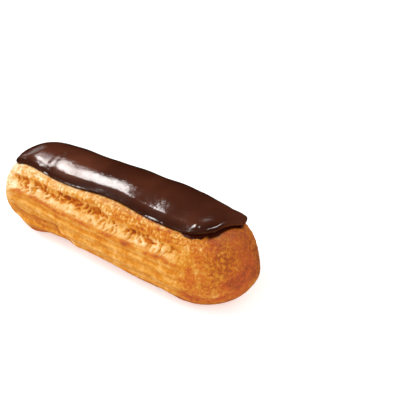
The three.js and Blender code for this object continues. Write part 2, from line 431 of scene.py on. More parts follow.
    def near_side(self, x: Array, level: Array) -> Array:
        """Relief of the -Y side.

        Args:
            x: Places along the eclair, in mm.
            level: Angles above the widest line of their side, in degrees.

        Returns:
            Height in mm.
        """
        low = bell((level - self.tuck[0]) / self.tuck[1])
        corner = self.foot_corner[2] * bell((x - self.foot_corner[0]) / self.foot_corner[1])
        notch = self.notch[2] * bell((x - self.notch[0]) / self.notch[1])
        ribs = self.rib_height(self.near_ribs, x, level)
        tear = self.tear_depth(self.near_tear, self.near_hollows, x, level)
        recess = self.recess_depth * self.recess_share(x, level)
        return ribs - tear - recess - self.tuck_depth(self.near_waist, x, level) + (corner - notch) * low

    def far_side(self, x: Array, level: Array) -> Array:
        """Relief of the +Y side.

        Args:
            x: Places along the eclair, in mm.
            level: Angles above the widest line of their side, in degrees.

        Returns:
            Height in mm.
        """
        ribs = self.rib_height(self.far_ribs, x, level)
        tear = self.tear_depth(self.far_tear, self.far_hollows, x, level)
        return ribs - tear - self.tuck_depth(self.far_waist, x, level)

    def groove_share(self, groove: Groove, point: Array) -> Array:
        """Where a groove of the front cap runs, 0 to 1.

        Args:
            groove: The groove.
            point: Plain points of the same places.

        Returns:
            0 beside the groove to 1 in it.
        """
        x, y, z = point[:, 0], point[:, 1], point[:, 2]
        line = groove.z + groove.slope * (y - groove.y) + groove.curve * (y - groove.y) ** 2
        shown = smooth(x, groove.start, groove.stop)
        across = window(y, groove.near + groove.blend, groove.far, groove.blend)
        return shown * across * bell((z - line) / groove.width)

    def whole_relief(self, x: Array, angle: Array) -> Array:
        """Relief that runs over both sides.

        Args:
            x: Places along the eclair, in mm.
            angle: Angles round the section, in degrees.

        Returns:
            Height in mm.
        """
        turn = np.radians(angle)
        height = np.where(np.sin(turn) > 0, self.shoulder * np.sin(2 * turn) ** 2, 0.0)
        swell = sum(rise * bell((x - middle) / reach) for middle, reach, rise in self.crown_swells)
        height = height + swell * (1 - smooth(x, *self.swell_end)) * np.maximum(np.sin(turn), 0)
        caps = 1 - smooth(x, *self.cap_fullness_back) + smooth(x, *self.cap_fullness_front)
        height += self.cap_fullness * caps * np.cos(turn) ** 2
        for wave in self.unevenness:
            height += wave.height * np.sin(2 * np.pi * wave.along * x + wave.around * turn + wave.phase)
        return height

    def relief(self, x: Array, angle: Array, point: Array, roundness: Array) -> Array:
        """Everything that the baked surface stands out from the plain shell.

        Args:
            x: Places along the eclair, in mm.
            angle: Angles round the section, in degrees.
            point: Plain points of the same places.
            roundness: Roundness of the ends at the same places.

        Returns:
            Height in mm.
        """
        on_near = np.cos(np.radians(angle)) >= 0
        level = np.where(on_near, angle, 180 - angle)
        side = np.where(on_near, self.near_side(x, level), self.far_side(x, level))
        side = side * smooth(level, -90, self.keel_blend - 90)
        grooves = sum(g.depth * self.groove_share(g, point) for g in (self.seam, self.crease))
        return (side + self.whole_relief(x, angle) - grooves) * smooth(roundness, 0, self.pole_blend)

    def on_shell(self, x: Array, angle: Array, stand_off: Array | float = 0.0) -> Array:
        """Points on the shell, or standing off it.

        Args:
            x: Places along the eclair.
            angle: Places round the section, in degrees.
            stand_off: Height above the form's surface.

        Returns:
            One row of x, y and z for each place, in millimetres.
        """
        point, facing, roundness = self.plain(x, angle)
        height = self.relief(x, angle, point, roundness) + stand_off
        point = point + facing * np.asarray(height)[:, None]
        z = point[:, 2]
        rolled = np.maximum(z + self.base_edge, 0) ** 2 / (4 * self.base_edge)
        point[:, 2] = np.where(z >= self.base_edge, z, rolled)
        return point


@dataclass(frozen=True)
class IcingForm:
    """The icing's form over the crown, as the part's source gives it."""

    shell: ShellForm
    back: float = -63.4
    front: float = 59.4
    back_corner: float = 9.0
    front_corner: float = 9.0
    edge: float = 51.0
    arc: float = 0.4
    gap: float = 0.32
    thickness: float = 1.55
    lip: float = 0.75
    thin_edge: float = 0.75
    edge_from: float = 0.7
    edge_to: float = 0.9
    round_from: float = 0.955
    near_wave: tuple[float, float, float] = (2.1, 58, 8)
    far_wave: tuple[float, float, float] = (1.8, 71, -16)
    skew: float = 0.1
    skew_ends: tuple[float, float] = (40, 60)

    @property
    def reach(self) -> float:
        """Way from the crown to a long edge, round the shell."""
        return (90 - self.edge) * self.arc

    def edge_level(self, x: Array, y: Array) -> Array:
        """Level of the long edge on the side that a point of the flat outline lies on.

        Args:
            x: Places along the eclair, in mm.
            y: Places across the flat icing, in mm.

        Returns:
            Angles above the widest line, in degrees.
        """
        near = self.near_wave[0] * np.sin(2 * np.pi * (x + self.near_wave[2]) / self.near_wave[1])
        far = self.far_wave[0] * np.sin(2 * np.pi * (x + self.far_wave[2]) / self.far_wave[1])
        return self.edge + np.where(y < 0, near, far)

    def place(self, x: Array, y: Array) -> tuple[Array, Array]:
        """Place on the shell of a point of the flat icing: x along it and angle round it."""
        angle = 90 + y / self.reach * (90 - self.edge_level(x, y))
        return x + self.skew * y * smooth(x, *self.skew_ends), angle

    def beyond_edge(self, x: Array, angle: Array) -> Array:
        """How far a place on the shell lies outside the icing's outline, in mm, negative under it.

        Args:
            x: Places along the eclair, in mm.
            angle: Angles round the section, in degrees.

        Returns:
            Ways in mm, negative under the icing.
        """
        side = np.where(angle < 90, -1.0, 1.0)
        y = (angle - 90) / (90 - self.edge_level(x, side)) * self.reach
        flat_x = x - self.skew * y * smooth(x, *self.skew_ends)
        middle = (self.back + self.front) / 2
        half = (self.front - self.back) / 2
        corner = np.where(flat_x > middle, self.front_corner, self.back_corner)
        qx = np.abs(flat_x - middle) - half + corner
        qy = np.abs(y) - self.reach + corner
        outside = np.hypot(np.maximum(qx, 0), np.maximum(qy, 0))
        return outside + np.minimum(np.maximum(qx, qy), 0) - corner


@dataclass(frozen=True)
class Patch:
    """A browner or paler patch of the front cap, by its place seen from the front."""

    y: float
    z: float
    wide: float
    high: float
    bake: float
    blush: float

    def share(self, points: Array) -> Array:
        """How much of the patch shows at each point, 0 to 1."""
        return bell(np.hypot((points[:, 1] - self.y) / self.wide, (points[:, 2] - self.z) / self.high))


@dataclass(frozen=True)
class Streak:
    """A line of browner or paler crust along one side, by level."""

    level: float
    spread: float
    amount: float
    start: float
    stop: float


class Mark(Enum):
    """Marks that a mesh carries for its finish, each from 0 to 1 or so."""

    # painted shade: this mark darkens the icing's near rim, standing in for the dark surroundings that it
    # mirrors
    PAINTED_RIM_SHADE = "rim"
    # browning, with painted shade and painted light added in
    BAKE_AND_PAINTED_LIGHT = "bake"
    BLUSH = "blush"
    PEBBLED = "pebbled"
    # chocolate smear under the lip, with painted contact shade along the icing's edges
    SEEP_AND_CONTACT_SHADE = "seep_and_contact_shade"


@dataclass(frozen=True)
class Lay:
    """Grain laid flat along one side: its length, its height and a layer of its own for each side."""

    length: float
    height: float
    near_layer: float
    far_layer: float

    def points(self, x: Array, arc_way: Array, on_near: Array) -> Array:
        """Points in the flat grain for places along the eclair and ways round it, in mm."""
        layer = np.where(on_near, self.near_layer, self.far_layer)
        return np.stack([x / self.length, arc_way / self.height, layer], -1)


@dataclass(frozen=True)
class Crumb:
    """Open crumb of a torn band: slots between leaning strands of dough, and bubbles near its upper edge.

    The arc is the way round the shell for each degree, in mm.
    """

    arc: float = 0.39
    warp: Cloud = Cloud(3.6, 2)
    warp_share: float = 0.45
    sideways: Cloud = Cloud(3.6, 2, 31.7)
    sideways_share: float = 0.40
    lean: float = 1.15
    near_layer: float = 0.35
    far_layer: float = 9.35
    strand_size: float = 1.9
    strand_length: float = 4.2
    strand_warp: float = 1.5
    strand_edge: Span = (0.16, 0.40)
    strand_chance: Span = (0.0, 0.45)
    strand_depth: float = 0.8
    bubble_size: float = 3.1
    bubble_flatness: float = 0.82
    bubble_sideways: float = 1.4
    bubble_layer: float = 3.0
    bubble_edge: Span = (0.12, 0.36)
    bubble_chance: Span = (0.25, 0.45)
    bubble_from: Span = (5.0, 10.0)
    bubble_depth: float = 0.9
    slot_in_bubble: float = 0.7
    low_slots: float = 0.75
    top: float = 0.25
    slot_pit: float = 0.85
    bubble_pit: float = 0.8

    def relief(self, x: Array, up: Array, slant: float, points: Array) -> tuple[Array, Array]:
        """Relief of the crumb.

        Args:
            x: Places along the eclair.
            up: Angles above the band's lower edge.
            slant: How far the band's webs lean for each degree.
            points: Plain points of the same places.

        Returns:
            Height over the band's floor in mm, and how deep in a pit each place lies, 0 to 1.
        """
        warp = self.warp_share * self.warp.at(points)
        sideways = self.sideways_share * self.sideways.at(points)
        lean = x - self.lean * slant * up
        layer = np.where(points[:, 1] < 0, self.near_layer, self.far_layer)
        along = lean / self.strand_size + self.strand_warp * warp
        across = up * self.arc / self.strand_length + sideways
        first, second, own = Cells().at(np.stack([along, across, layer], -1))
        slot = smooth(second - first, *self.strand_edge) * smooth(own, *self.strand_chance)
        along = lean / self.bubble_size + warp
        across = up * self.arc / (self.bubble_flatness * self.bubble_size) + self.bubble_sideways * sideways
        first, second, own = Cells().at(np.stack([along, across, layer + self.bubble_layer], -1))
        high = smooth(up, *self.bubble_from)
        bubble = smooth(second - first, *self.bubble_edge) * smooth(own, *self.bubble_chance) * high
        slot *= (1 - self.slot_in_bubble * bubble) * (self.low_slots + (1 - self.low_slots) * high)
        height = self.top - self.strand_depth * slot - self.bubble_depth * bubble
        return height, np.clip(self.slot_pit * slot + self.bubble_pit * bubble, 0, 1)


@dataclass(frozen=True)
class Zones:
    """Places on the crust, with the soft noise and the zones that its grain and its baking share.

    The level is the angle above the widest line, and bent is the level counted from the ribs' own bend. The
    rise is the angle that the height alone gives, and outside is the way beyond the icing's edge, in mm.
    """

    x: Array
    angle: Array
    points: Array
    roundness: Array
    on_near: Array
    level: Array
    bent: Array
    rise: Array
    outside: Array
    lumps: Array
    pebbles: Array
    wander: Array
    front: Array
    back: Array
    recess: Array


@dataclass(frozen=True)
class Tearing:
    """The torn bands at each place: open crumb, its relief and pits, larger holes and their rings, the
    darkening of which is partly painted shade.
    """

    torn: Array
    web: Array
    pit: Array
    hole: Array
    ring: Array


@dataclass(frozen=True)
class Bumps:
    """Blisters, coarse and fine, with the zones that carry them, freckles, pores and drawn-out streaks."""

    strip: Array
    bumpy: Array
    blistered: Array
    coarse: Array
    fine: Array
    freckle: Array
    pore: Array
    drawn: Array


@dataclass(frozen=True)
class Blister:
    """One size of blister: its dome, the gap to its neighbours, the least height and the height in mm."""

    dome: Span
    least: float
    height: float
    gap: Span | None = None

    def rise(self, first: Array, second: Array, own: Array) -> Array:
        """Share of the height at places in the blisters' cells.

        Args:
            first: Distances to the nearest cell centre.
            second: Distances to the second nearest cell centre.
            own: Each cell's own number.

        Returns:
            0 beside the blisters to 1 on the highest.
        """
        share = 1 - smooth(first, *self.dome)
        if self.gap:
            share = share * smooth(second - first, *self.gap)
        return share * (self.least + (1 - self.least) * own)


@dataclass(frozen=True)
class Reach:
    """Where each zone eases in or out, by x, y and z in mm, and by level and rise in degrees."""

    cap: Span = (46, 60)
    cap_tip: Span = (57, 66)
    cap_side: tuple[float, float, float] = (-8, 38, 14)
    cap_high: Span = (6, 15)
    back: Span = (46, 62)
    back_end: Span = (50, 65)
    back_rise: Span = (0, 20)
    # the back end's paleness and painted light: by rise, on the top, and fading onto the far side
    pale_end_and_painted_light_rise: Span = (-14, 15)
    painted_light_on_back_top_rise: Span = (20, 42)
    pale_end_and_painted_light_far: Span = (-5, 9)
    strip_edge: Span = (35, 38)
    strip_edge_at_end: Span = (3, 46)
    strip_top: Span = (60, 63)
    strip_along: Span = (-46, 38)
    tear_middle: tuple[float, float, float] = (-22, 22, 8)
    tear_closing: Span = (41, 50)
    tear_upper: Span = (27, 34)
    pores: tuple[float, float, float] = (-7, 9, 3)
    # where the lobe step's painted shadow and painted highlight lie, by level
    lobe_step_painted_light: tuple[float, float, float] = (-22, 0, 4)
    foot: Span = (-26, -12)
    underside: Span = (-40, -24)
    lip_seep: Span = (45, 52)
    seep_to_top: Span = (62, 96)
    under_icing: Span = (-1.2, 0.6)
    smooth_below: Span = (-62, -46)
    smooth_pole: Span = (0.02, 0.3)


@dataclass(frozen=True)
class Tones:
    """How much each thing browns the crust, or pales it where the name says pale; some stand for painted
    shade or painted light, as their comments say.
    """

    plain: float = 0.53
    lumps: float = 0.10
    drawn: float = 0.17
    pebbles: float = 0.07
    line_breaks: float = 0.3
    lines_lost_in_tear: float = 0.6
    pale_tear: float = 0.33
    pale_tear_back: float = 0.22
    tear_upper: float = 0.18
    tear_middle: float = 0.08
    tear_closing: float = 0.9
    # darker crust in the pits, partly painted shade in them
    pit: float = 0.52
    pit_lost_in_closing: float = 0.6
    # darker crust in the larger holes, partly painted shade; the ring is painted shade round their walls
    hole: float = 0.12
    ring: float = 0.16
    pore: float = 0.22
    freckle: float = 0.25
    # paler back end: paler dough there, with painted light on its top and near side, where the lamp falls
    pale_end_and_painted_light: float = 0.26
    painted_light_on_back_top: float = 0.18
    pale_end_lost_in_tear: float = 0.7
    pale_end_and_painted_light_lost_far: float = 0.5
    strip_to_front: float = 0.28
    pale_strip: float = 0.27
    # paler blister tops: paler dough with painted highlights on the domes
    pale_blister_and_painted_highlight: float = 0.40
    pale_fine_blister_and_painted_highlight: float = 0.20
    between_blisters: float = 0.13
    blister_lost_on_back: float = 0.35
    cap: float = 0.10
    cap_high: float = 0.11
    cap_wander: float = 0.12
    # painted shade: darker in the recess behind the lobe
    recess: float = 0.15
    # painted shadow just behind the lobe's step and painted highlight along its edge: amounts and places
    lobe_step_painted_light: float = 0.24
    lobe_step_painted_shade_at: Span = (2.4, 1.5)
    lobe_step_painted_highlight: float = 0.14
    lobe_step_painted_highlight_at: Span = (-0.8, 1.3)
    cap_tip: float = 0.26
    pale_cap: float = 0.12
    foot: float = 0.06
    underside: float = 0.22
    foot_pebbles: float = 0.20
    foot_lost_on_cap: float = 0.7
    scorch_middle: float = 0.45
    scorch_swing: float = 1.3
    groove: float = 0.12
    scorched_groove: float = 0.36
    cap_red: float = 0.28
    cap_red_swing: float = 0.6
    most_cap_red: float = 0.85
    groove_red: float = 0.1
    scorched_red: float = 0.5
    strip_red: float = 0.3
    strip_red_middle: float = 0.2
    darkest: float = 1.25


@dataclass(frozen=True)
class CrustGrain:
    """The fine relief of the baked dough and the marks that its finish follows."""

    form: ShellForm
    icing: IcingForm
    crumb: Crumb = Crumb()
    tones: Tones = Tones()
    reach: Reach = Reach()
    lumps: Cloud = Cloud(6.5, 3, 3.1)
    pebbles: Cloud = Cloud(1.7, 2, 8.4)
    wander: Cloud = Cloud(10.0, 3, 61.0)
    ragged: Cloud = Cloud(2.6, 2, 51.0)
    drawn: Cloud = Cloud(1.0, 3)
    wrinkles: Cloud = Cloud(3.1, 2, 14.5)
    scorch: Cloud = Cloud(4.5, 2, 33.0)
    cap_red: Cloud = Cloud(9.0, 3, 21.0)
    strip_red: Cloud = Cloud(3.0, 2, 77.0)
    seep_edge: Cloud = Cloud(2.6, 2, 40.2)
    blisters: Cells = Cells(1.7, 2.2)
    fine_blisters: Cells = Cells(0.95, 6.6)
    pore_lay: Lay = Lay(3.6, 1.9, 0.2, 7.2)
    drawn_lay: Lay = Lay(9.0, 1.1, 4.1, 11.3)
    cap_sway: float = 4.0
    back_sway: float = 3.0
    frayed_by: float = 1.3
    frayed_up: float = 0.3
    upper_fray: float = 1.5
    lower_blend: float = 1.6
    upper_blend: float = 2.2
    front_fade: float = 0.8
    band_margin: Span = (14, 6)
    least_torn: float = 0.001
    hole_fray: float = 0.12
    hole_edge: Span = (0.48, 0.72)
    ring_edge: Span = (0.66, 1.05)
    hole_depth: float = 0.55
    crumb_in_hole: float = 0.5
    blister: Blister = Blister((0.05, 0.8), 0.3, 0.4, (0.0, 0.22))
    fine_blister: Blister = Blister((0.05, 0.75), 0.4, 0.2)
    blister_floor: float = 0.18
    freckle_edge: Span = (0.12, 0.4)
    freckle_chance: Span = (0.5, 0.8)
    pore_edge: Span = (0.10, 0.26)
    pore_chance: Span = (0.35, 0.6)
    strip_lost_on_cap: float = 0.35
    back_bumps: float = 0.8
    cap_blisters: float = 0.15
    cap_pebbles: float = 0.85
    drawn_lost_on_back: float = 0.6
    drawn_lost_in_tear: float = 0.8
    lump_height: float = 0.12
    pebble_height: float = 0.07
    drawn_height: float = 0.10
    pore_depth: float = 0.38
    cap_wrinkle: float = 0.30
    recess_wrinkle: float = 0.25
    wrinkle_middle: float = 0.7
    cap_pitting: float = 0.12
    near_streaks: tuple[Streak, ...] = (
        Streak(18.0, 2.0, 0.22, -62, 54),
        Streak(37.0, 1.8, 0.22, 8, 52),
        Streak(41.5, 2.0, 0.10, -20, 50),
        Streak(14.3, 1.2, -0.05, -10, 54),
        Streak(11.3, 1.5, 0.12, -58, 54),
        Streak(8.6, 0.9, -0.06, -52, 48),
        Streak(1.2, 1.2, 0.05, -60, 30),
        Streak(5.0, 3.0, 0.05, 0, 60),
    )
    far_streaks: tuple[Streak, ...] = (
        Streak(21.4, 2.0, 0.20, -58, 52),
        Streak(40.5, 1.8, 0.18, -50, 40),
        Streak(13.4, 1.5, 0.12, -60, 54),
        Streak(7.5, 2.4, -0.06, -50, 50),
        Streak(2.4, 1.4, 0.08, -56, 56),
        Streak(-10.5, 2.6, 0.08, -50, 58),
    )
    streak_fade: float = 6.0
    # painted contact shade: a thin dark line under every edge of the icing
    painted_contact_shade_width: float = 0.1
    lip_seep: float = 1.3
    seep_lost_far: float = 0.8
    seep_blend: float = 0.5
    patches: tuple[Patch, ...] = (
        Patch(3, 20, 8, 9, 0.24, 0.5),
        Patch(-5, 11, 7, 4, 0.08, 0.2),
        Patch(-12, 20, 4, 9, -0.10, -0.1),
        Patch(-6, 6.5, 9, 4, 0.04, 0.4),
        Patch(11.5, 13, 6.5, 10, -0.15, -0.8),
        Patch(-1, 28.5, 3, 1.6, -0.10, 0.1),
    )

    def frayed(self, tear: Tear, x: Array, level: Array, points: Array) -> Array:
        """Where a band's crumb lies open, 0 to 1, with ragged edges.

        Args:
            tear: The torn band.
            x: Places along the eclair, in mm.
            level: Angles above the widest line of their side, in degrees.
            points: Plain points of the same places.

        Returns:
            0 where the crust is whole to 1 where its crumb lies open.
        """
        ragged = self.frayed_by * self.ragged.at(points)
        lower = tear.lower + tear.bend * self.form.rib_bend(x) + self.frayed_up
        upper = tear.upper - tear.narrow * smooth(x, tear.narrow_start, tear.narrow_stop) + self.frayed_up
        below = smooth(level + ragged, lower, lower + self.lower_blend)
        above = smooth(level + self.upper_fray * ragged, upper - self.upper_blend, upper)
        shown = window(x, tear.start + tear.fade, tear.stop - self.front_fade * tear.fade, tear.fade)
        return below * (1 - above) * shown

    def streaks(self, streaks: tuple[Streak, ...], x: Array, level: Array) -> Array:
        """Sum of one side's streaks.

        Args:
            streaks: The side's streaks.
            x: Places along the eclair, in mm.
            level: Angles above the widest line of their side, in degrees.

        Returns:
            How much they brown the crust.
        """
        tone = np.zeros_like(x)
        fade = self.streak_fade
        for streak in streaks:
            shown = window(x, streak.start + fade, streak.stop - fade, fade)
            offset = (level - self.form.rib_bend(x) - streak.level) / streak.spread
            tone += streak.amount * shown * bell(offset)
        return tone

    def zones(self, x: Array, angle: Array) -> Zones:
        """Find the noise and the zones of places on the crust.

        Args:
            x: Places along the eclair, in mm.
            angle: Angles round the section, in degrees.

        Returns:
            The places with their noise and zones.
        """
        form = self.form
        points, _, roundness = form.plain(x, angle)
        on_near = np.cos(np.radians(angle)) >= 0
        level = np.where(on_near, angle, 180 - angle)
        wander = self.wander.at(points)
        half_height = np.where(level > 0, form.crown_rise, form.keel_drop)
        rise = np.degrees(np.arcsin(np.clip((points[:, 2] - form.belly_height) / half_height, -1, 1)))
        return Zones(
            x=x,
            angle=angle,
            points=points,
            roundness=roundness,
            on_near=on_near,
            level=level,
            bent=level - form.rib_bend(x),
            rise=rise,
            outside=self.icing.beyond_edge(x, angle),
            lumps=self.lumps.at(points),
            pebbles=self.pebbles.at(points),
            wander=wander,
            front=smooth(x + self.cap_sway * wander, *self.reach.cap),
            back=smooth(self.back_sway * wander - x, *self.reach.back),
            recess=np.where(on_near, form.recess_share(x, level), 0.0),
        )

    def tearing(self, at: Zones) -> Tearing:
        """Open the torn bands and their larger holes.

        Args:
            at: Places on the crust.

        Returns:
            What the bands give each place.
        """
        form = self.form
        torn, web, pit = np.zeros_like(at.x), np.zeros_like(at.x), np.zeros_like(at.x)
        for side, tear in ((at.on_near, form.near_tear), (~at.on_near, form.far_tear)):
            below, above = self.band_margin
            band = side & (at.level > tear.lower - below) & (at.level < tear.upper + above)
            torn[band] = self.frayed(tear, at.x[band], at.level[band], at.points[band])
            open_crumb = side & (torn > self.least_torn)
            up = at.level[open_crumb] - tear.lower
            relief = self.crumb.relief(at.x[open_crumb], up, form.web_slant, at.points[open_crumb])
            web[open_crumb], pit[open_crumb] = relief
        web *= torn
        both = (form.near_hollows, form.far_hollows)
        hollow = np.where(at.on_near, *(form.hollow_depth(hollows, at.x, at.level) for hollows in both))
        # the ring marks the holes' walls, which carry painted shade
        hole = smooth(hollow + self.hole_fray * at.pebbles, *self.hole_edge)
        ring = hole * (1 - smooth(hollow, *self.ring_edge))
        beside_hole = 1 - self.crumb_in_hole * hole
        web = web * beside_hole - self.hole_depth * hole
        pit *= torn * beside_hole
        return Tearing(torn, web, pit, hole, ring)

    def bumps(self, at: Zones, torn: Array, hole: Array) -> Bumps:
        """Raise the blisters of the strip and the back end, and find the pores and streaks of the flanks.

        Args:
            at: Places on the crust.
            torn: Where the crumb lies open, 0 to 1.
            hole: Where the larger holes lie, 0 to 1.

        Returns:
            The blisters, pores and streaks at each place.
        """
        first, second, own = self.blisters.at(at.points)
        fine_first, fine_second, fine_own = self.fine_blisters.at(at.points)
        coarse = self.blister.rise(first, second, own)
        fine = self.fine_blister.rise(fine_first, fine_second, fine_own)
        freckle = (1 - smooth(fine_first, *self.freckle_edge)) * smooth(fine_own, *self.freckle_chance)
        reach = self.reach
        end = smooth(-at.x, *reach.back_end)
        edges = zip(reach.strip_edge, reach.strip_edge_at_end)
        start, stop = (here + (there - here) * end for here, there in edges)
        strip = smooth(at.bent, start, stop) * (1 - (1 - end) * smooth(at.bent, *reach.strip_top))
        strip *= (1 - self.strip_lost_on_cap * at.front) * (1 - torn) * (1 - hole)
        bumpy = strip + self.back_bumps * at.back * smooth(at.rise, *reach.back_rise)
        blistered = np.clip(bumpy + self.cap_blisters * at.front, 0, 1)
        arc = self.crumb.arc
        pore_first, _, pore_own = Cells().at(self.pore_lay.points(at.x, at.level * arc, at.on_near))
        pore_zone = window(at.bent, *reach.pores) * (1 - at.front) * (1 - torn)
        pore = (1 - smooth(pore_first, *self.pore_edge)) * pore_zone * smooth(pore_own, *self.pore_chance)
        drawn = self.drawn.at(self.drawn_lay.points(at.x, at.bent * arc, at.on_near))
        drawn = drawn * (1 - at.front) * (1 - self.drawn_lost_on_back * at.back)
        drawn = drawn * (1 - self.drawn_lost_in_tear * torn)
        return Bumps(strip, bumpy, blistered, coarse, fine, freckle, pore, drawn)

    def relief(self, at: Zones, tears: Tearing, bumps: Bumps) -> Array:
        """Height of the grain over the form's surface, in mm.

        Args:
            at: Places on the crust.
            tears: The torn bands at the same places.
            bumps: The blisters, pores and streaks at the same places.

        Returns:
            Height in mm.
        """
        height = self.lump_height * at.lumps + self.pebble_height * at.pebbles + tears.web
        raised = self.blister.height * bumps.coarse + self.fine_blister.height * bumps.fine
        height += bumps.blistered * (raised - self.blister_floor)
        height += self.drawn_height * bumps.drawn - self.pore_depth * bumps.pore
        wrinkle = 1 - np.abs(self.wrinkles.at(at.points))
        wrinkled = self.cap_wrinkle * at.front + self.recess_wrinkle * at.recess
        height += wrinkled * (wrinkle - self.wrinkle_middle) - self.cap_pitting * at.front * bumps.fine
        bare = smooth(at.outside, *self.reach.under_icing) * smooth(at.level, *self.reach.smooth_below)
        return height * bare * smooth(at.roundness, *self.reach.smooth_pole)

    def flank_tone(self, at: Zones, tears: Tearing, bumps: Bumps) -> Array:
        """How far the flanks, the torn bands and the blisters are baked, with painted shade in the pits and
        holes, painted highlights on the blisters and painted light on the back end.

        Args:
            at: Places on the crust.
            tears: The torn bands at the same places.
            bumps: The blisters, pores and streaks at the same places.

        Returns:
            About 0 for pale dough to 1 for brown crust, with the painted light and shade in it.
        """
        tone, reach, torn = self.tones, self.reach, tears.torn
        bake = tone.plain + tone.lumps * at.lumps + tone.drawn * bumps.drawn + tone.pebbles * at.pebbles
        near, far = (self.streaks(side, at.x, at.level) for side in (self.near_streaks, self.far_streaks))
        broken = 1 + tone.line_breaks * np.clip(at.lumps, -1, 1)
        bake += np.where(at.on_near, near, far) * broken * (1 - tone.lines_lost_in_tear * torn)
        closing = tone.tear_closing * smooth(at.x, *reach.tear_closing)
        pale = tone.pale_tear + tone.pale_tear_back * at.back
        pale = pale - tone.tear_upper * smooth(at.bent, *reach.tear_upper)
        pale = pale - tone.tear_middle * window(at.x, *reach.tear_middle)
        bake -= torn * pale * (1 - tears.hole) * (1 - closing)
        # pits and holes darker, partly painted shade; rings of painted shade round the holes
        pit = tone.pit * tears.pit * (1 - tone.pit_lost_in_closing * closing)
        bake += pit + tone.hole * tears.hole + tone.ring * tears.ring
        bake += tone.pore * bumps.pore + tone.freckle * at.front * bumps.freckle
        # paler back end: paler dough with painted light, most of it on the top and the near side
        far_side = tone.pale_end_and_painted_light_lost_far * smooth(at.points[:, 1], *reach.pale_end_and_painted_light_far)
        pale_end_and_painted_light = at.back * (1 - tone.pale_end_lost_in_tear * torn) * (1 - far_side)
        pale = tone.pale_end_and_painted_light * smooth(at.rise, *reach.pale_end_and_painted_light_rise)
        bake -= (pale + tone.painted_light_on_back_top * smooth(at.rise, *reach.painted_light_on_back_top_rise)) * pale_end_and_painted_light
        bake += bumps.strip * (tone.strip_to_front * smooth(at.x, *reach.strip_along) - tone.pale_strip)
        # paler blister domes: paler dough with painted highlights
        pale = tone.pale_blister_and_painted_highlight * bumps.coarse + tone.pale_fine_blister_and_painted_highlight * bumps.fine
        shown = bumps.blistered * (1 - tone.blister_lost_on_back * at.back)
        return bake - shown * (pale - tone.between_blisters)

    def cap_tone(self, at: Zones) -> Array:
        """How much more the front cap and the foot are baked, with painted shade in the recess and a painted
        shadow and highlight at the lobe's step.

        Args:
            at: Places on the crust.

        Returns:
            What is added to the tone of the flanks.
        """
        form, tone, reach = self.form, self.tones, self.reach
        high = smooth(at.points[:, 2], *reach.cap_high)
        bake = at.front * (tone.cap + tone.cap_high * high + tone.cap_wander * at.wander)
        # painted shade in the recess behind the lobe
        bake += tone.recess * at.recess
        # painted shadow just behind the lobe's step and a painted highlight along its edge
        past_step = at.x - form.lobe_x - form.lobe_slant * (form.lobe_level - at.level)
        lobe_step_painted_light = np.where(at.on_near, window(at.level, *reach.lobe_step_painted_light), 0.0)
        spots = (tone.lobe_step_painted_shade_at, tone.lobe_step_painted_highlight_at)
        dark, pale = (bell((past_step + before) / width) for before, width in spots)
        bake += lobe_step_painted_light * (tone.lobe_step_painted_light * dark - tone.lobe_step_painted_highlight * pale)
        tip = tone.cap_tip * smooth(at.x, *reach.cap_tip) - tone.pale_cap
        bake += at.front * tip * window(at.level, *reach.cap_side)
        bake += at.front * sum(patch.bake * patch.share(at.points) for patch in self.patches)
        foot = 1 - smooth(at.rise, *reach.foot)
        under = 1 - smooth(at.rise, *reach.underside)
        below = tone.foot * foot + tone.underside * under + tone.foot_pebbles * foot * at.pebbles
        return bake + below * (1 - tone.foot_lost_on_cap * at.front)

    def seep_and_contact_shade(self, at: Zones) -> Array:
        """Where dark chocolate ran out under the icing's edge, most of it under the lip, where it also stands
        in for the lip's shadow, with a thin line of painted contact shade along every edge.

        Args:
            at: Places on the crust.

        Returns:
            0 on bare crust to 1 under the chocolate and the painted shade.
        """
        bite = 1 + 0.5 * self.seep_edge.at(at.points)
        far = smooth(at.angle, *self.reach.seep_to_top)
        lip = smooth(at.x, *self.reach.lip_seep) * (1 - self.seep_lost_far * far)
        width = self.painted_contact_shade_width + self.lip_seep * lip * bite
        return 1 - smooth(at.outside - width, 0.0, self.seep_blend)

    def marks(self, x: Array, angle: Array) -> tuple[Array, dict[Mark, Array]]:
        """Fine relief and marks at places on the crust.

        Args:
            x: Places along the eclair.
            angle: Places round the section, in degrees.

        Returns:
            The height to add to the form's surface, in mm, and a value for each mark.
        """
        form, tone = self.form, self.tones
        at = self.zones(x, angle)
        tears = self.tearing(at)
        bumps = self.bumps(at, tears.torn, tears.hole)
        grooves = sum(form.groove_share(groove, at.points) for groove in (form.seam, form.crease))
        scorched = np.clip(tone.scorch_middle + tone.scorch_swing * self.scorch.at(at.points), 0, 1)
        bake = self.flank_tone(at, tears, bumps) + self.cap_tone(at)
        bake += (tone.groove + tone.scorched_groove * scorched) * grooves
        reddened = sum(patch.blush * patch.share(at.points) for patch in self.patches)
        red = tone.cap_red + tone.cap_red_swing * self.cap_red.at(at.points) + reddened
        blush = at.front * np.clip(red, 0, tone.most_cap_red)
        blush += (tone.groove_red + tone.scorched_red * scorched) * grooves
        strip_red = np.clip(tone.strip_red_middle + self.strip_red.at(at.points), 0, 1)
        blush += tone.strip_red * bumps.strip * strip_red
        return self.relief(at, tears, bumps), {
            Mark.BAKE_AND_PAINTED_LIGHT: np.clip(bake, 0, tone.darkest),
            Mark.BLUSH: np.clip(blush, 0, 1),
            Mark.PEBBLED: np.clip(bumps.bumpy + self.cap_pebbles * at.front, 0, 1),
            Mark.SEEP_AND_CONTACT_SHADE: np.clip(self.seep_and_contact_shade(at), 0, 1),
        }


@dataclass(frozen=True)
class Texture:
    """Noise of a finish: the width of its lumps in mm, its detail and its roughness."""

    size: float
    detail: float = 2.0
    roughness: float = 0.5


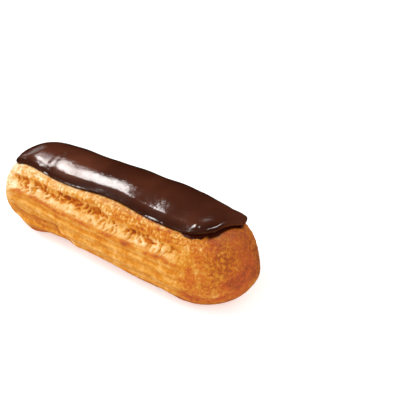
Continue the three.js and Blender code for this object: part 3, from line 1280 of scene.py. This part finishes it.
class Wire:
    """A node's socket that takes part in Python expressions."""

    def __init__(self, graph: Graph, socket: bpy.types.NodeSocket) -> None:
        """Keep the graph and the socket."""
        self.graph = graph
        self.socket = socket

    @property
    def is_number(self) -> bool:
        """Whether the socket carries one number."""
        return self.socket.type == "VALUE"

    def _join(self, operation: str, left: Wire | float, right: Wire | float) -> Wire:
        """Add the Math or Vector Math node of an expression."""
        kind = "ShaderNodeMath" if self.is_number else "ShaderNodeVectorMath"
        return self.graph.node(kind, {"operation": operation}, {0: left, 1: right})

    def __add__(self, other: Wire | float) -> Wire:
        """Sum."""
        return self._join("ADD", self, other)

    def __radd__(self, other: float) -> Wire:
        """Sum with a number on the left."""
        return self._join("ADD", other, self)

    def __sub__(self, other: Wire | float) -> Wire:
        """Difference."""
        return self._join("SUBTRACT", self, other)

    def __rsub__(self, other: float) -> Wire:
        """Difference from a number on the left."""
        return self._join("SUBTRACT", other, self)

    def __mul__(self, other: Wire | float) -> Wire:
        """Product."""
        return self._join("MULTIPLY", self, other)

    def __rmul__(self, other: float) -> Wire:
        """Product with a number on the left."""
        return self._join("MULTIPLY", other, self)

    def clamp(self) -> Wire:
        """The same number held between 0 and 1."""
        return self.graph.node("ShaderNodeClamp", {}, {"Value": self})

    def between(self, start: float, stop: float) -> Wire:
        """Ease from 0 at start to 1 at stop.

        Args:
            start: Value that gives 0.
            stop: Value that gives 1.

        Returns:
            The eased number.
        """
        settings = {"interpolation_type": "SMOOTHSTEP"}
        inputs = {"Value": self, "From Min": start, "From Max": stop}
        return self.graph.node("ShaderNodeMapRange", settings, inputs)


class Graph:
    """The node tree of one finish."""

    def __init__(self, name: str) -> None:
        """Make the material with nothing but its output.

        Args:
            name: The name.
        """
        self.material = bpy.data.materials.new(name)
        self.material.use_nodes = True
        self.tree = self.material.node_tree
        self.tree.nodes.clear()

    def node(self, kind: str, settings: dict, inputs: dict, output: int | str = 0) -> Wire:
        """Add any node.

        Args:
            kind: The node's type.
            settings: Its own settings, and a ramp's stops as pairs of place and colour.
            inputs: A value or a wire for each socket, by name or number.
            output: Name or number of the socket that the wire carries on.

        Returns:
            The wire from that socket.
        """
        made = self.tree.nodes.new(kind)
        for key, value in settings.items():
            if key == "stops":
                self._fill_ramp(made.color_ramp, value)
            else:
                setattr(made, key, value)
        for key, value in inputs.items():
            if isinstance(value, Wire):
                self.tree.links.new(value.socket, made.inputs[key])
            else:
                made.inputs[key].default_value = value
        return Wire(self, made.outputs[output]) if len(made.outputs) else Wire(self, made.inputs[0])

    @staticmethod
    def _fill_ramp(ramp: bpy.types.ColorRamp, stops: list[tuple[float, Colour]]) -> None:
        """Give a ramp its stops.

        Args:
            ramp: The ramp.
            stops: Place and colour of each stop.
        """
        while len(ramp.elements) > 1:
            ramp.elements.remove(ramp.elements[-1])
        for i, (place, colour) in enumerate(stops):
            element = ramp.elements[0] if i == 0 else ramp.elements.new(place)
            element.position = place
            element.color = (*colour, 1)

    def mark(self, mark: Mark) -> Wire:
        """The value of one of the mesh's marks."""
        return self.node("ShaderNodeAttribute", {"attribute_name": mark.value}, {}, "Fac")

    def place(self) -> Wire:
        """The place on the object, in metres."""
        return self.node("ShaderNodeTexCoord", {}, {}, "Object")

    def noise(self, place: Wire, texture: Texture) -> Wire:
        """Soft noise from 0 to 1.

        Args:
            place: Where the noise is taken.
            texture: The noise's sizes.

        Returns:
            The noise.
        """
        scale = 1 / (texture.size * MM)
        inputs = {"Vector": place, "Scale": scale, "Detail": texture.detail, "Roughness": texture.roughness}
        return self.node("ShaderNodeTexNoise", {}, inputs, "Fac")

    def mix(self, share: Wire | float, first: Wire | Colour, second: Wire | Colour) -> Wire:
        """Mix two colours.

        Args:
            share: Share of the second colour.
            first: The first colour.
            second: The second colour.

        Returns:
            The mixed colour.
        """
        pair = [c if isinstance(c, Wire) else (*c, 1) for c in (first, second)]
        made = self.tree.nodes.new("ShaderNodeMix")
        made.data_type = "RGBA"
        sockets = {s.identifier: s for s in made.inputs}
        for name, value in (("Factor_Float", share), ("A_Color", pair[0]), ("B_Color", pair[1])):
            if isinstance(value, Wire):
                self.tree.links.new(value.socket, sockets[name])
            else:
                sockets[name].default_value = value
        return Wire(self, next(s for s in made.outputs if s.identifier == "Result_Color"))

    def bump(self, height: Wire, depth: float) -> Wire:
        """The normal of fine grain, from its height and its depth in mm."""
        inputs = {"Strength": BUMP_STRENGTH, "Distance": depth * MM, "Height": height}
        return self.node("ShaderNodeBump", {}, inputs, "Normal")

    def surface(self, colour: Wire, roughness: Wire, normal: Wire, shine: float) -> bpy.types.Material:
        """Dress the material as one plain surface.

        Args:
            colour: Its colour.
            roughness: Its roughness.
            normal: The normal of its grain.
            shine: How strongly it mirrors, 0.5 being plain.

        Returns:
            The material.
        """
        inputs = {"Base Color": colour, "Roughness": roughness, "Normal": normal, "Specular IOR Level": shine}
        return self.finish(self.node("ShaderNodeBsdfPrincipled", {}, inputs))

    def finish(self, shader: Wire) -> bpy.types.Material:
        """Join the shader to the output and return the material."""
        self.node("ShaderNodeOutputMaterial", {}, {"Surface": shader})
        return self.material


@dataclass(frozen=True)
class CrustFinish:
    """Baked choux: pale cream over gold and orange to brown, by how far it baked and by the painted light and
    shade that the bake mark carries.
    """

    cream: Colour = linear(254, 234, 199)
    straw: Colour = linear(245, 199, 136)
    gold: Colour = linear(224, 165, 80)
    amber: Colour = linear(209, 133, 24)
    russet: Colour = linear(193, 99, 14)
    brown: Colour = linear(156, 70, 20)
    umber: Colour = linear(92, 38, 14)
    red: Colour = linear(210, 92, 28)
    # colour of the chocolate smear and of the painted contact shade
    sauce_and_contact_shade: Colour = linear(58, 18, 7)
    darkest: float = 1.25
    fine: Texture = Texture(0.55, 2.0, 0.6)
    speckle: Texture = Texture(1.3, 2.0, 0.6)
    mottle: Texture = Texture(4.5, 3.0, 0.55)
    fine_tone: float = 0.35
    fine_tone_pebbled: float = 0.35
    speckle_tone: float = 0.35
    speckle_tone_pebbled: float = 0.65
    mottle_tone: float = 0.45
    red_speckle: float = 2.4
    red_mottle: float = 0.5
    red_cut: float = 0.9
    dull: float = 0.62
    pebbled_gloss: float = 0.14
    uneven_gloss: float = 0.2
    wet: float = 0.22
    shine: float = 0.28
    fine_grit: float = 0.5
    grit: float = 0.75
    grit_pebbled: float = 0.5
    grit_depth: float = 0.45

    def material(self) -> bpy.types.Material:
        """Build the crust's material.

        Returns:
            The material.
        """
        graph = Graph("choux_crust")
        place = graph.place()
        fine = graph.noise(place, self.fine)
        speckle = graph.noise(place, self.speckle)
        mottle = graph.noise(place, self.mottle)
        # the bake mark: browning with painted shade and painted light
        bake = graph.mark(Mark.BAKE_AND_PAINTED_LIGHT)
        pebbled = graph.mark(Mark.PEBBLED)
        fine_tone = (fine - 0.5) * (pebbled * self.fine_tone_pebbled + self.fine_tone)
        speckle_tone = (speckle - 0.5) * (pebbled * self.speckle_tone_pebbled + self.speckle_tone)
        tone = bake + (fine_tone + speckle_tone) + (mottle - 0.5) * self.mottle_tone
        colours = (self.cream, self.straw, self.gold, self.amber, self.russet, self.brown, self.umber)
        places = (0.0, 0.2, 0.4, 0.6, 0.8, 1.0, self.darkest)
        stops = [(at / self.darkest, colour) for at, colour in zip(places, colours)]
        baked = graph.node("ShaderNodeValToRGB", {"stops": stops}, {"Fac": tone * (1 / self.darkest)})
        reddened = speckle * self.red_speckle + mottle * self.red_mottle - self.red_cut
        blush = (graph.mark(Mark.BLUSH) * reddened).clamp()
        crust = graph.mix(blush, baked, self.red)
        # chocolate smear under the lip and painted contact shade under the icing's edges
        seep_and_contact_shade = graph.mark(Mark.SEEP_AND_CONTACT_SHADE)
        colour = graph.mix(seep_and_contact_shade, crust, self.sauce_and_contact_shade)
        dry = self.dull - pebbled * self.pebbled_gloss + (fine - 0.5) * self.uneven_gloss
        roughness = dry * (1 - seep_and_contact_shade) + seep_and_contact_shade * self.wet
        grit = (fine * self.fine_grit + speckle) * (pebbled * self.grit_pebbled + self.grit)
        return graph.surface(colour, roughness, graph.bump(grit, self.grit_depth), self.shine)


@dataclass(frozen=True)
class IcingFinish:
    """Set chocolate icing: dark brown with a wet gloss, and painted shade darkening its near rim."""

    deep: Colour = linear(70, 33, 20)
    warm: Colour = linear(98, 51, 34)
    # painted shade: the colour that the near rim is darkened towards, standing in for the dark surroundings
    # it mirrors
    dark: Colour = linear(44, 19, 11)
    broad: Texture = Texture(26.0)
    ripple: Texture = Texture(2.6, 3.0, 0.62)
    speck: Texture = Texture(0.7, 2.0, 0.6)
    warm_from: Span = (0.3, 0.7)
    painted_rim_shade_share: float = 0.75
    speck_height: float = 0.35
    grain_depth: float = 0.22
    gloss: float = 0.14
    uneven_gloss: float = 0.12
    shine: float = 0.5

    def material(self) -> bpy.types.Material:
        """Build the icing's material.

        Returns:
            The material.
        """
        graph = Graph("chocolate_icing")
        place = graph.place()
        broad = graph.noise(place, self.broad)
        ripple = graph.noise(place, self.ripple)
        speck = graph.noise(place, self.speck)
        smooth_part = graph.mix(broad.between(*self.warm_from), self.deep, self.warm)
        # painted shade on the near rim, mixed in by its mark
        colour = graph.mix(graph.mark(Mark.PAINTED_RIM_SHADE) * self.painted_rim_shade_share, smooth_part, self.dark)
        normal = graph.bump(ripple + speck * self.speck_height, self.grain_depth)
        roughness = self.gloss + (speck - 0.5) * self.uneven_gloss
        return graph.surface(colour, roughness, normal, self.shine)


@dataclass(frozen=True)
class FloorFinish:
    """Plain pale floor, lit a little from below so that shadows stay light."""

    white: Colour = (0.7, 0.7, 0.7)
    glow: float = 0.56

    def material(self) -> bpy.types.Material:
        """Build the floor's material.

        Returns:
            The material.
        """
        graph = Graph("pale_floor")
        inputs = {
            "Base Color": (*self.white, 1),
            "Roughness": 1.0,
            "Specular IOR Level": 0.0,
            "Emission Color": (1, 1, 1, 1),
            "Emission Strength": self.glow,
        }
        return graph.finish(graph.node("ShaderNodeBsdfPrincipled", {}, inputs))


def mesh_object(name: str, points: Array, faces: list[tuple[int, ...]]) -> bpy.types.Object:
    """Make a smooth mesh object.

    Args:
        name: The object's name.
        points: Corners in metres.
        faces: Corner numbers of each face.

    Returns:
        The object, linked to the scene.
    """
    mesh = bpy.data.meshes.new(name)
    mesh.from_pydata(points.tolist(), [], faces)
    mesh.polygons.foreach_set("use_smooth", [True] * len(mesh.polygons))
    mesh.update()
    made = bpy.data.objects.new(name, mesh)
    bpy.context.scene.collection.objects.link(made)
    return made


def carry(made: bpy.types.Object, mark: Mark, values: Array) -> None:
    """Give each corner of a mesh its value of a mark."""
    layer = made.data.attributes.new(mark.value, "FLOAT", "POINT")
    layer.data.foreach_set("value", values.astype(np.float32))


def band_angles(bands: tuple[tuple[float, float], ...]) -> Array:
    """Section angles once round, each band given by the angle it ends at and its step.

    Args:
        bands: The angle that each band ends at, and the step inside it.

    Returns:
        The angles in degrees.
    """
    angles = [-90.0]
    for stop, step in bands:
        steps = max(round((stop - angles[-1]) / step), 1)
        angles.extend(np.linspace(angles[-1], stop, steps + 1)[1:])
    return np.array(angles[:-1])


@dataclass
class Crust:
    """The baked choux shell with its torn bands, blisters and browned front cap."""

    form: ShellForm
    grain: CrustGrain
    shift: Array
    rings: int = 414
    cap_steps: int = 400
    bands: tuple[tuple[float, float], ...] = (
        (-36, 4.5), (17, 1.18), (46, 0.66), (56, 1.0), (124, 5.0),
        (134, 1.0), (163, 0.66), (216, 1.18), (270, 4.5),
    )

    def stations(self) -> Array:
        """Places along the eclair, evenly spaced over the outline seen from above, without its two ends.

        Returns:
            The places in mm.
        """
        t = np.linspace(0, np.pi / 2, self.cap_steps)
        form = self.form
        half = form.length / 2
        back_x = -(half - form.back_cap) - form.back_cap * np.cos(t)
        front_x = half - form.front_cap + form.front_cap * np.sin(t)
        back = np.stack([back_x, form.half_width * np.sin(t)], -1)
        front = np.stack([front_x, form.half_width * np.cos(t)], -1)
        line = np.concatenate([back, front])
        way = np.concatenate([[0], np.cumsum(np.linalg.norm(np.diff(line, axis=0), axis=1))])
        return np.interp(np.linspace(0, way[-1], self.rings + 2)[1:-1], way, line[:, 0])

    def build(self) -> bpy.types.Object:
        """Build the crust's mesh with its marks and finish.

        Returns:
            The crust.
        """
        angles = band_angles(self.bands)
        along = self.stations()
        around = len(angles)
        half = self.form.length / 2
        x = np.concatenate([[-half], np.repeat(along, around), [half]])
        angle = np.concatenate([[0.0], np.tile(angles, len(along)), [0.0]])
        height, marks = self.grain.marks(x, angle)
        points = (self.form.on_shell(x, angle, height) + self.shift) * MM
        faces = self.faces(len(along), around)
        made = mesh_object("crust", points, faces)
        for mark, values in marks.items():
            carry(made, mark, values)
        made.data.materials.append(CrustFinish().material())
        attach(made, "root")
        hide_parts("choux_shell")
        return made

    @staticmethod
    def faces(rings: int, around: int) -> list[tuple[int, ...]]:
        """Faces of a closed grid of rings between two end points.

        Args:
            rings: How many rings the grid has.
            around: How many corners each ring has.

        Returns:
            The corner numbers of each face.
        """
        last = rings * around + 1
        faces = []
        for j in range(around):
            k = (j + 1) % around
            faces.append((0, 1 + j, 1 + k))
            end = 1 + (rings - 1) * around
            faces.append((last, end + k, end + j))
            for i in range(rings - 1):
                low = 1 + i * around
                high = low + around
                faces.append((low + j, high + j, high + k, low + k))
        return faces


@dataclass
class Icing:
    """The tray of set chocolate icing, with a rolled lip at its front end."""

    form: IcingForm
    shift: Array
    rim_steps: int = 420
    corner_steps: int = 60
    under_rings: tuple[float, ...] = (0.0, 0.3, 0.6, 0.8, 0.9)
    round_steps: int = 12
    top_rings: int = 27
    bead_in: float = 0.9
    bead_width: float = 1.0
    back_bead: float = 0.22
    front_bead: float = 0.6
    back_bead_end: Span = (-30, -12)
    bead_breaks: Cloud = Cloud(4.0, 2, 5.5)
    front_from: float = 46.0
    lip_from: Span = (53.5, 57.5)
    groove_depth: float = 0.6
    groove_in: float = 2.6
    groove_width: float = 0.85
    groove_across: Span = (-3, 3)
    swelling: float = 0.6
    swelling_along: Span = (9, 26)
    swelling_side: float = 10.8
    swelling_nearer: float = 2.8
    swelling_nearer_along: Span = (-28, -9)
    swelling_blend: float = 4.0
    swelling_rim: Span = (0.87, 0.99)
    slow_waves: tuple[tuple[float, float, float], ...] = ((5, 18, 0.35), (18, 31, -0.85), (30, 52, 0.5))
    slow_across: Span = (-2, 4)
    blot: tuple[float, float, float, float, float] = (0.23, -1, -15.4, 5, 2.4)
    shelf: float = 0.4
    shelf_in: Span = (-5.5, -1.5)
    thinned: float = 0.3
    thinned_rim: Span = (0.86, 0.98)
    thinned_more: float = 0.5
    thinned_more_along: tuple[float, float, float] = (20, 42, 6)
    crossing: tuple[float, float, float] = (0.2, 34, 2.2)
    crossing_slant: tuple[float, float] = (0.25, 10)
    bubble: tuple[float, float, float, float] = (0.55, 53.1, -11.6, 1.2)
    wave: Cloud = Cloud(15.0, 2, 2.7)
    wave_height: float = 0.05
    ripple: Cloud = Cloud(3.2, 3, 17.0)
    ripple_height: float = 0.018
    weld_step: float = 0.0005
    # where the painted shade of the near rim lies: share of the way to the rim, and way onto the near side
    rim_shade: Span = (0.70, 0.92)
    rim_shade_across: Span = (2, 8)

    def outline(self) -> Array:
        """Outline of the icing laid out flat, with the same places on both long sides.

        Returns:
            One row of x and y for each place, in mm.
        """
        form = self.form
        turn = np.linspace(0, np.pi / 2, self.corner_steps)
        front = np.stack([
            form.front - form.front_corner * (1 - np.cos(turn)),
            form.reach - form.front_corner * (1 - np.sin(turn)),
        ], -1)
        back = np.stack([
            form.back + form.back_corner * (1 - np.sin(turn)),
            form.reach - form.back_corner * (1 - np.cos(turn)),
        ], -1)
        half = np.concatenate([[[form.front, 0]], front, back, [[form.back, 0]]])
        way = np.concatenate([[0], np.cumsum(np.linalg.norm(np.diff(half, axis=0), axis=1))])
        steps = np.linspace(0, way[-1], self.rim_steps // 2 + 1)
        far = np.stack([np.interp(steps, way, half[:, 0]), np.interp(steps, way, half[:, 1])], -1)
        near = far[1:-1][::-1] * [1, -1]
        return np.concatenate([far, near])

    def profile(self) -> Array:
        """Share of the way to the rim and share of the thickness, from under the middle to over it.

        Returns:
            One row of the two shares for each place.
        """
        start = self.form.round_from
        turn = np.linspace(-np.pi / 2, np.pi / 2, self.round_steps + 1)
        rim = np.stack([start + (1 - start) * np.cos(turn), 0.5 + 0.5 * np.sin(turn)], -1)
        under = np.stack([self.under_rings, np.zeros(len(self.under_rings))], -1)
        reach = np.linspace(start, 0, self.top_rings + 1)[1:]
        top = np.stack([reach, np.ones(self.top_rings)], -1)
        return np.concatenate([under, rim, top])

    def build(self) -> bpy.types.Object:
        """Build the icing's mesh and finish.

        Returns:
            The icing.
        """
        form = self.form
        outline, profile = self.outline(), self.profile()
        rim = np.repeat(outline, len(profile), axis=0)
        reach, share = np.tile(profile, (len(outline), 1)).T
        heart = np.clip(rim[:, 0], form.back + form.reach, form.front - form.reach)
        flat_x = heart + (rim[:, 0] - heart) * reach
        flat_y = rim[:, 1] * reach
        along, angle = form.place(flat_x, flat_y)
        edge = smooth(reach, form.edge_from, form.edge_to)
        frontness = smooth(along, form.shell.length / 2 - form.shell.front_cap, form.front)
        thickness = form.thickness + edge * (-form.thin_edge + (form.lip + form.thin_edge) * frontness)
        spots = np.stack([flat_x, flat_y, np.zeros_like(flat_x)], -1)
        wave = self.wave_height * self.wave.at(spots)
        wave += self.ripple_height * self.ripple.at(spots)
        wave += self.settling(flat_x, flat_y, reach)
        thickness = thickness + share * wave
        points = form.shell.on_shell(along, angle, form.gap + share * thickness)
        corners = (points + self.shift) * MM
        number, kept = self.weld(corners)
        made = mesh_object("icing", corners[kept], self.faces(number, len(outline), len(profile)))
        # painted shade: the near rim's darkening, by the way to the rim and the near side
        shade = smooth(reach, *self.rim_shade) * smooth(-flat_y, *self.rim_shade_across)
        carry(made, Mark.PAINTED_RIM_SHADE, shade[kept])
        made.data.materials.append(IcingFinish().material())
        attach(made, "root")
        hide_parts("chocolate_icing")
        return made

    def settling(self, x: Array, y: Array, reach: Array) -> Array:
        """How the icing ran before it set.

        There are a bead along the rim, a groove behind the lip and a step at it, a swelling, slow waves, a
        low blot, a shallow dip across, a thinner edge and a bubble.

        Args:
            x: Places along the flat icing.
            y: Places across it, the near side being negative.
            reach: Share of the way to the rim.

        Returns:
            Height to add to the icing's thickness, in mm.
        """
        inside = (1 - reach) * self.form.reach
        near = smooth(-y, 0, 2)
        front = smooth(x, self.front_from, self.form.front)
        broken = 0.6 + 1.3 * self.bead_breaks.at(np.stack([x, y, np.zeros_like(x)], -1))
        back_bead = self.back_bead * near * (1 - smooth(x, *self.back_bead_end)) * broken
        lip = smooth(x, *self.lip_from)
        bead = back_bead * (1 - lip) + self.front_bead * lip
        bead = bead * bell((inside - self.bead_in) / self.bead_width)
        across = smooth(y, *self.groove_across)
        groove = self.groove_depth * front * bell((inside - self.groove_in) / self.groove_width) * across
        fold = self.swelling_side - self.swelling_nearer * smooth(x, *self.swelling_nearer_along)
        raised = smooth(-y, fold - self.swelling_blend, fold + self.swelling_blend)
        swelling = self.swelling * smooth(-x, *self.swelling_along) * raised
        swelling *= 1 - smooth(reach, *self.swelling_rim)
        waves = sum(rise * smooth(x, start, stop) for start, stop, rise in self.slow_waves)
        waves = waves * smooth(-y, *self.slow_across)
        rise, blot_x, blot_y, length, width = self.blot
        blot = rise * bell(np.hypot((x - blot_x) / length, (y - blot_y) / width))
        shelf = self.shelf * front * smooth(-inside, *self.shelf_in)
        thinned = self.thinned * smooth(reach, *self.thinned_rim) * near * (1 - front)
        thinned *= 1 + self.thinned_more * window(x, *self.thinned_more_along)
        depth, back_of_middle, width = self.crossing
        slant, slant_y = self.crossing_slant
        crossing = depth * bell((x + back_of_middle + slant * (y + slant_y)) / width) * near
        rise, bubble_x, bubble_y, width = self.bubble
        bubble = rise * bell(np.hypot(x - bubble_x, y - bubble_y) / width)
        return bead - groove + swelling + waves + blot + shelf - thinned - crossing + bubble

    def weld(self, corners: Array) -> tuple[list[int], list[int]]:
        """Make corners that meet along the icing's middle one.

        Args:
            corners: Corners in metres.

        Returns:
            The new number of each corner, and which of the given corners are kept.
        """
        keys: dict[tuple[int, int, int], int] = {}
        number: list[int] = []
        kept: list[int] = []
        for i, key in enumerate(map(tuple, np.round(corners / (self.weld_step * MM)).astype(int))):
            if key not in keys:
                keys[key] = len(kept)
                kept.append(i)
            number.append(keys[key])
        return number, kept

    @staticmethod
    def faces(number: list[int], around: int, rows: int) -> list[tuple[int, ...]]:
        """Faces of the closed mesh.

        Args:
            number: The number of each corner, row by row for each place round the rim.
            around: How many places there are round the rim.
            rows: How many corners each of them has.

        Returns:
            The corner numbers of each face.
        """
        faces = []
        for i in range(around):
            here, there = i * rows, (i + 1) % around * rows
            for j in range(rows - 1):
                ring = (here + j, there + j, there + j + 1, here + j + 1)
                face = tuple(dict.fromkeys(number[k] for k in ring))
                if len(face) > 2:
                    faces.append(face)
        return faces


@dataclass(frozen=True)
class Softbox:
    """An area light spread from one direction to another."""

    name: str
    first: tuple[float, float, float]
    last: tuple[float, float, float]
    width: float
    distance: float
    power: float
    colour: Colour = (1.0, 1.0, 1.0)
    aim: tuple[float, float, float] = (0.0, 0.0, 0.02)

    def build(self, in_gloss: bool) -> None:
        """Set the light up, facing the middle of the eclair, seen by gloss alone or by surfaces alone.

        Args:
            in_gloss: Whether gloss alone sees the light, instead of surfaces alone.
        """
        first, last = (Vector(end).normalized() for end in (self.first, self.last))
        way = (first + last).normalized()
        along = (last - first).normalized()
        lamp = bpy.data.lights.new(self.name, "AREA")
        lamp.shape = "RECTANGLE"
        lamp.size = (last - first).length * self.distance
        lamp.size_y = self.width * self.distance
        lamp.energy = self.power
        lamp.color = self.colour
        made = bpy.data.objects.new(self.name, lamp)
        bpy.context.scene.collection.objects.link(made)
        made.location = way * self.distance + Vector(self.aim)
        made.rotation_euler = Matrix((along, way.cross(along), way)).transposed().to_euler()
        made.visible_diffuse = not in_gloss
        made.visible_glossy = in_gloss


DAYLIGHT: Colour = (1.0, 0.985, 0.96)
GLEAM_LIGHT: Colour = (1.0, 0.975, 0.955)
GLOW_LIGHT: Colour = (1.0, 0.97, 0.94)
REAR_LIGHT: Colour = (1.0, 0.97, 0.96)
OVERHEAD_LIGHT: Colour = (1.0, 0.98, 0.97)


@dataclass
class Studio:
    """Pale floor, soft light and the camera at the photograph's angle."""

    camera_place: tuple[float, float, float] = (0.43857, -0.41277, 0.31196)
    camera_way: tuple[float, float, float] = (-0.62383, 0.65304, -0.42939)
    lens: float = 141.13
    floor_size: float = 6.0
    world_grey: float = 0.42
    sensor: float = 36.0
    clip_start: float = 0.01
    lights: tuple[Softbox, ...] = (
        Softbox("key", (-0.80, -0.20, 0.60), (-0.42, -0.68, 0.62), 0.55, 1.3, 11.0, DAYLIGHT),
        Softbox("fill", (0.20, -0.80, 0.60), (0.85, -0.25, 0.60), 0.7, 1.4, 7.5),
        Softbox("behind", (-0.40, 0.80, 0.45), (0.60, 0.70, 0.45), 0.6, 1.4, 5.5, DAYLIGHT),
    )
    reflections: tuple[Softbox, ...] = (
        Softbox("gleam", (-0.647, -0.389, 0.656), (-0.730, 0.251, 0.636), 0.14, 1.0, 6.2, GLEAM_LIGHT),
        Softbox("glow", (-0.68, -0.58, 0.45), (-0.74, -0.36, 0.57), 0.12, 1.0, 0.035, GLOW_LIGHT),
        Softbox("rear", (-0.99, 0.02, 0.12), (-0.82, 0.47, 0.30), 0.16, 1.0, 0.35, REAR_LIGHT),
        Softbox("overhead", (0.02, -0.05, 0.99), (0.16, 0.42, 0.88), 0.26, 1.0, 7.5, OVERHEAD_LIGHT),
    )

    def build(self) -> None:
        """Set up the floor, the world, the lights and the camera."""
        scene = bpy.context.scene
        scene.view_settings.view_transform = "Standard"
        self.floor()
        self.world(scene)
        for light in self.lights:
            light.build(in_gloss=False)
        for light in self.reflections:
            light.build(in_gloss=True)
        self.camera(scene)

    def floor(self) -> None:
        """Lay the floor."""
        half = self.floor_size / 2
        corners = [[-half, -half, 0], [half, -half, 0], [half, half, 0], [-half, half, 0]]
        made = mesh_object("floor", np.array(corners, dtype=float), [(0, 1, 2, 3)])
        made.data.materials.append(FloorFinish().material())
        made.visible_glossy = False

    def world(self, scene: bpy.types.Scene) -> None:
        """Give the room an even grey light.

        Args:
            scene: The scene.
        """
        world = bpy.data.worlds.new("room")
        world.use_nodes = True
        background = world.node_tree.nodes["Background"]
        background.inputs["Color"].default_value = (1, 1, 1, 1)
        background.inputs["Strength"].default_value = self.world_grey
        world.cycles_visibility.glossy = False
        scene.world = world

    def camera(self, scene: bpy.types.Scene) -> None:
        """Place the camera.

        Args:
            scene: The scene.
        """
        lens = bpy.data.cameras.new("camera")
        lens.lens = self.lens
        lens.sensor_width = self.sensor
        lens.sensor_fit = "HORIZONTAL"
        lens.clip_start = self.clip_start
        made = bpy.data.objects.new("camera", lens)
        scene.collection.objects.link(made)
        made.location = self.camera_place
        made.rotation_euler = Vector(self.camera_way).to_track_quat("-Z", "Y").to_euler()
        scene.camera = made


def shell_shift(form: ShellForm, reach: float = 60.0, steps: int = 121, turns: int = 181) -> Array:
    """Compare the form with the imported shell.

    Args:
        form: The shell's form.
        reach: How far from the middle its width is sought, in mm.
        steps: At how many places along it.
        turns: At how many angles round it.

    Returns:
        How far the form has to move along x, y and z, in mm.
    """
    low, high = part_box("choux_shell")
    angles, along = np.meshgrid(np.linspace(-90, 270, turns), np.linspace(-reach, reach, steps))
    points = form.on_shell(along.ravel(), angles.ravel())
    middle = (points[:, 1].min() + points[:, 1].max()) / 2
    return np.array([(low.x + high.x) / 2 / MM, (low.y + high.y) / 2 / MM - middle, low.z / MM])


def main() -> None:
    """Build the eclair and its studio, and report each piece."""
    logging.basicConfig(level=logging.INFO, format="%(message)s")
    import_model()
    form = ShellForm()
    icing_form = IcingForm(form)
    shift = shell_shift(form)
    log.info("shell shift %s mm", np.round(shift, 3))
    crust = Crust(form, CrustGrain(form, icing_form), shift).build()
    icing = Icing(icing_form, shift).build()
    for piece in (crust, icing):
        log.info("%s: %d corners, %d faces", piece.name, len(piece.data.vertices), len(piece.data.polygons))
    Studio().build()
    bpy.context.view_layer.update()


if __name__ == "__main__":
    main()
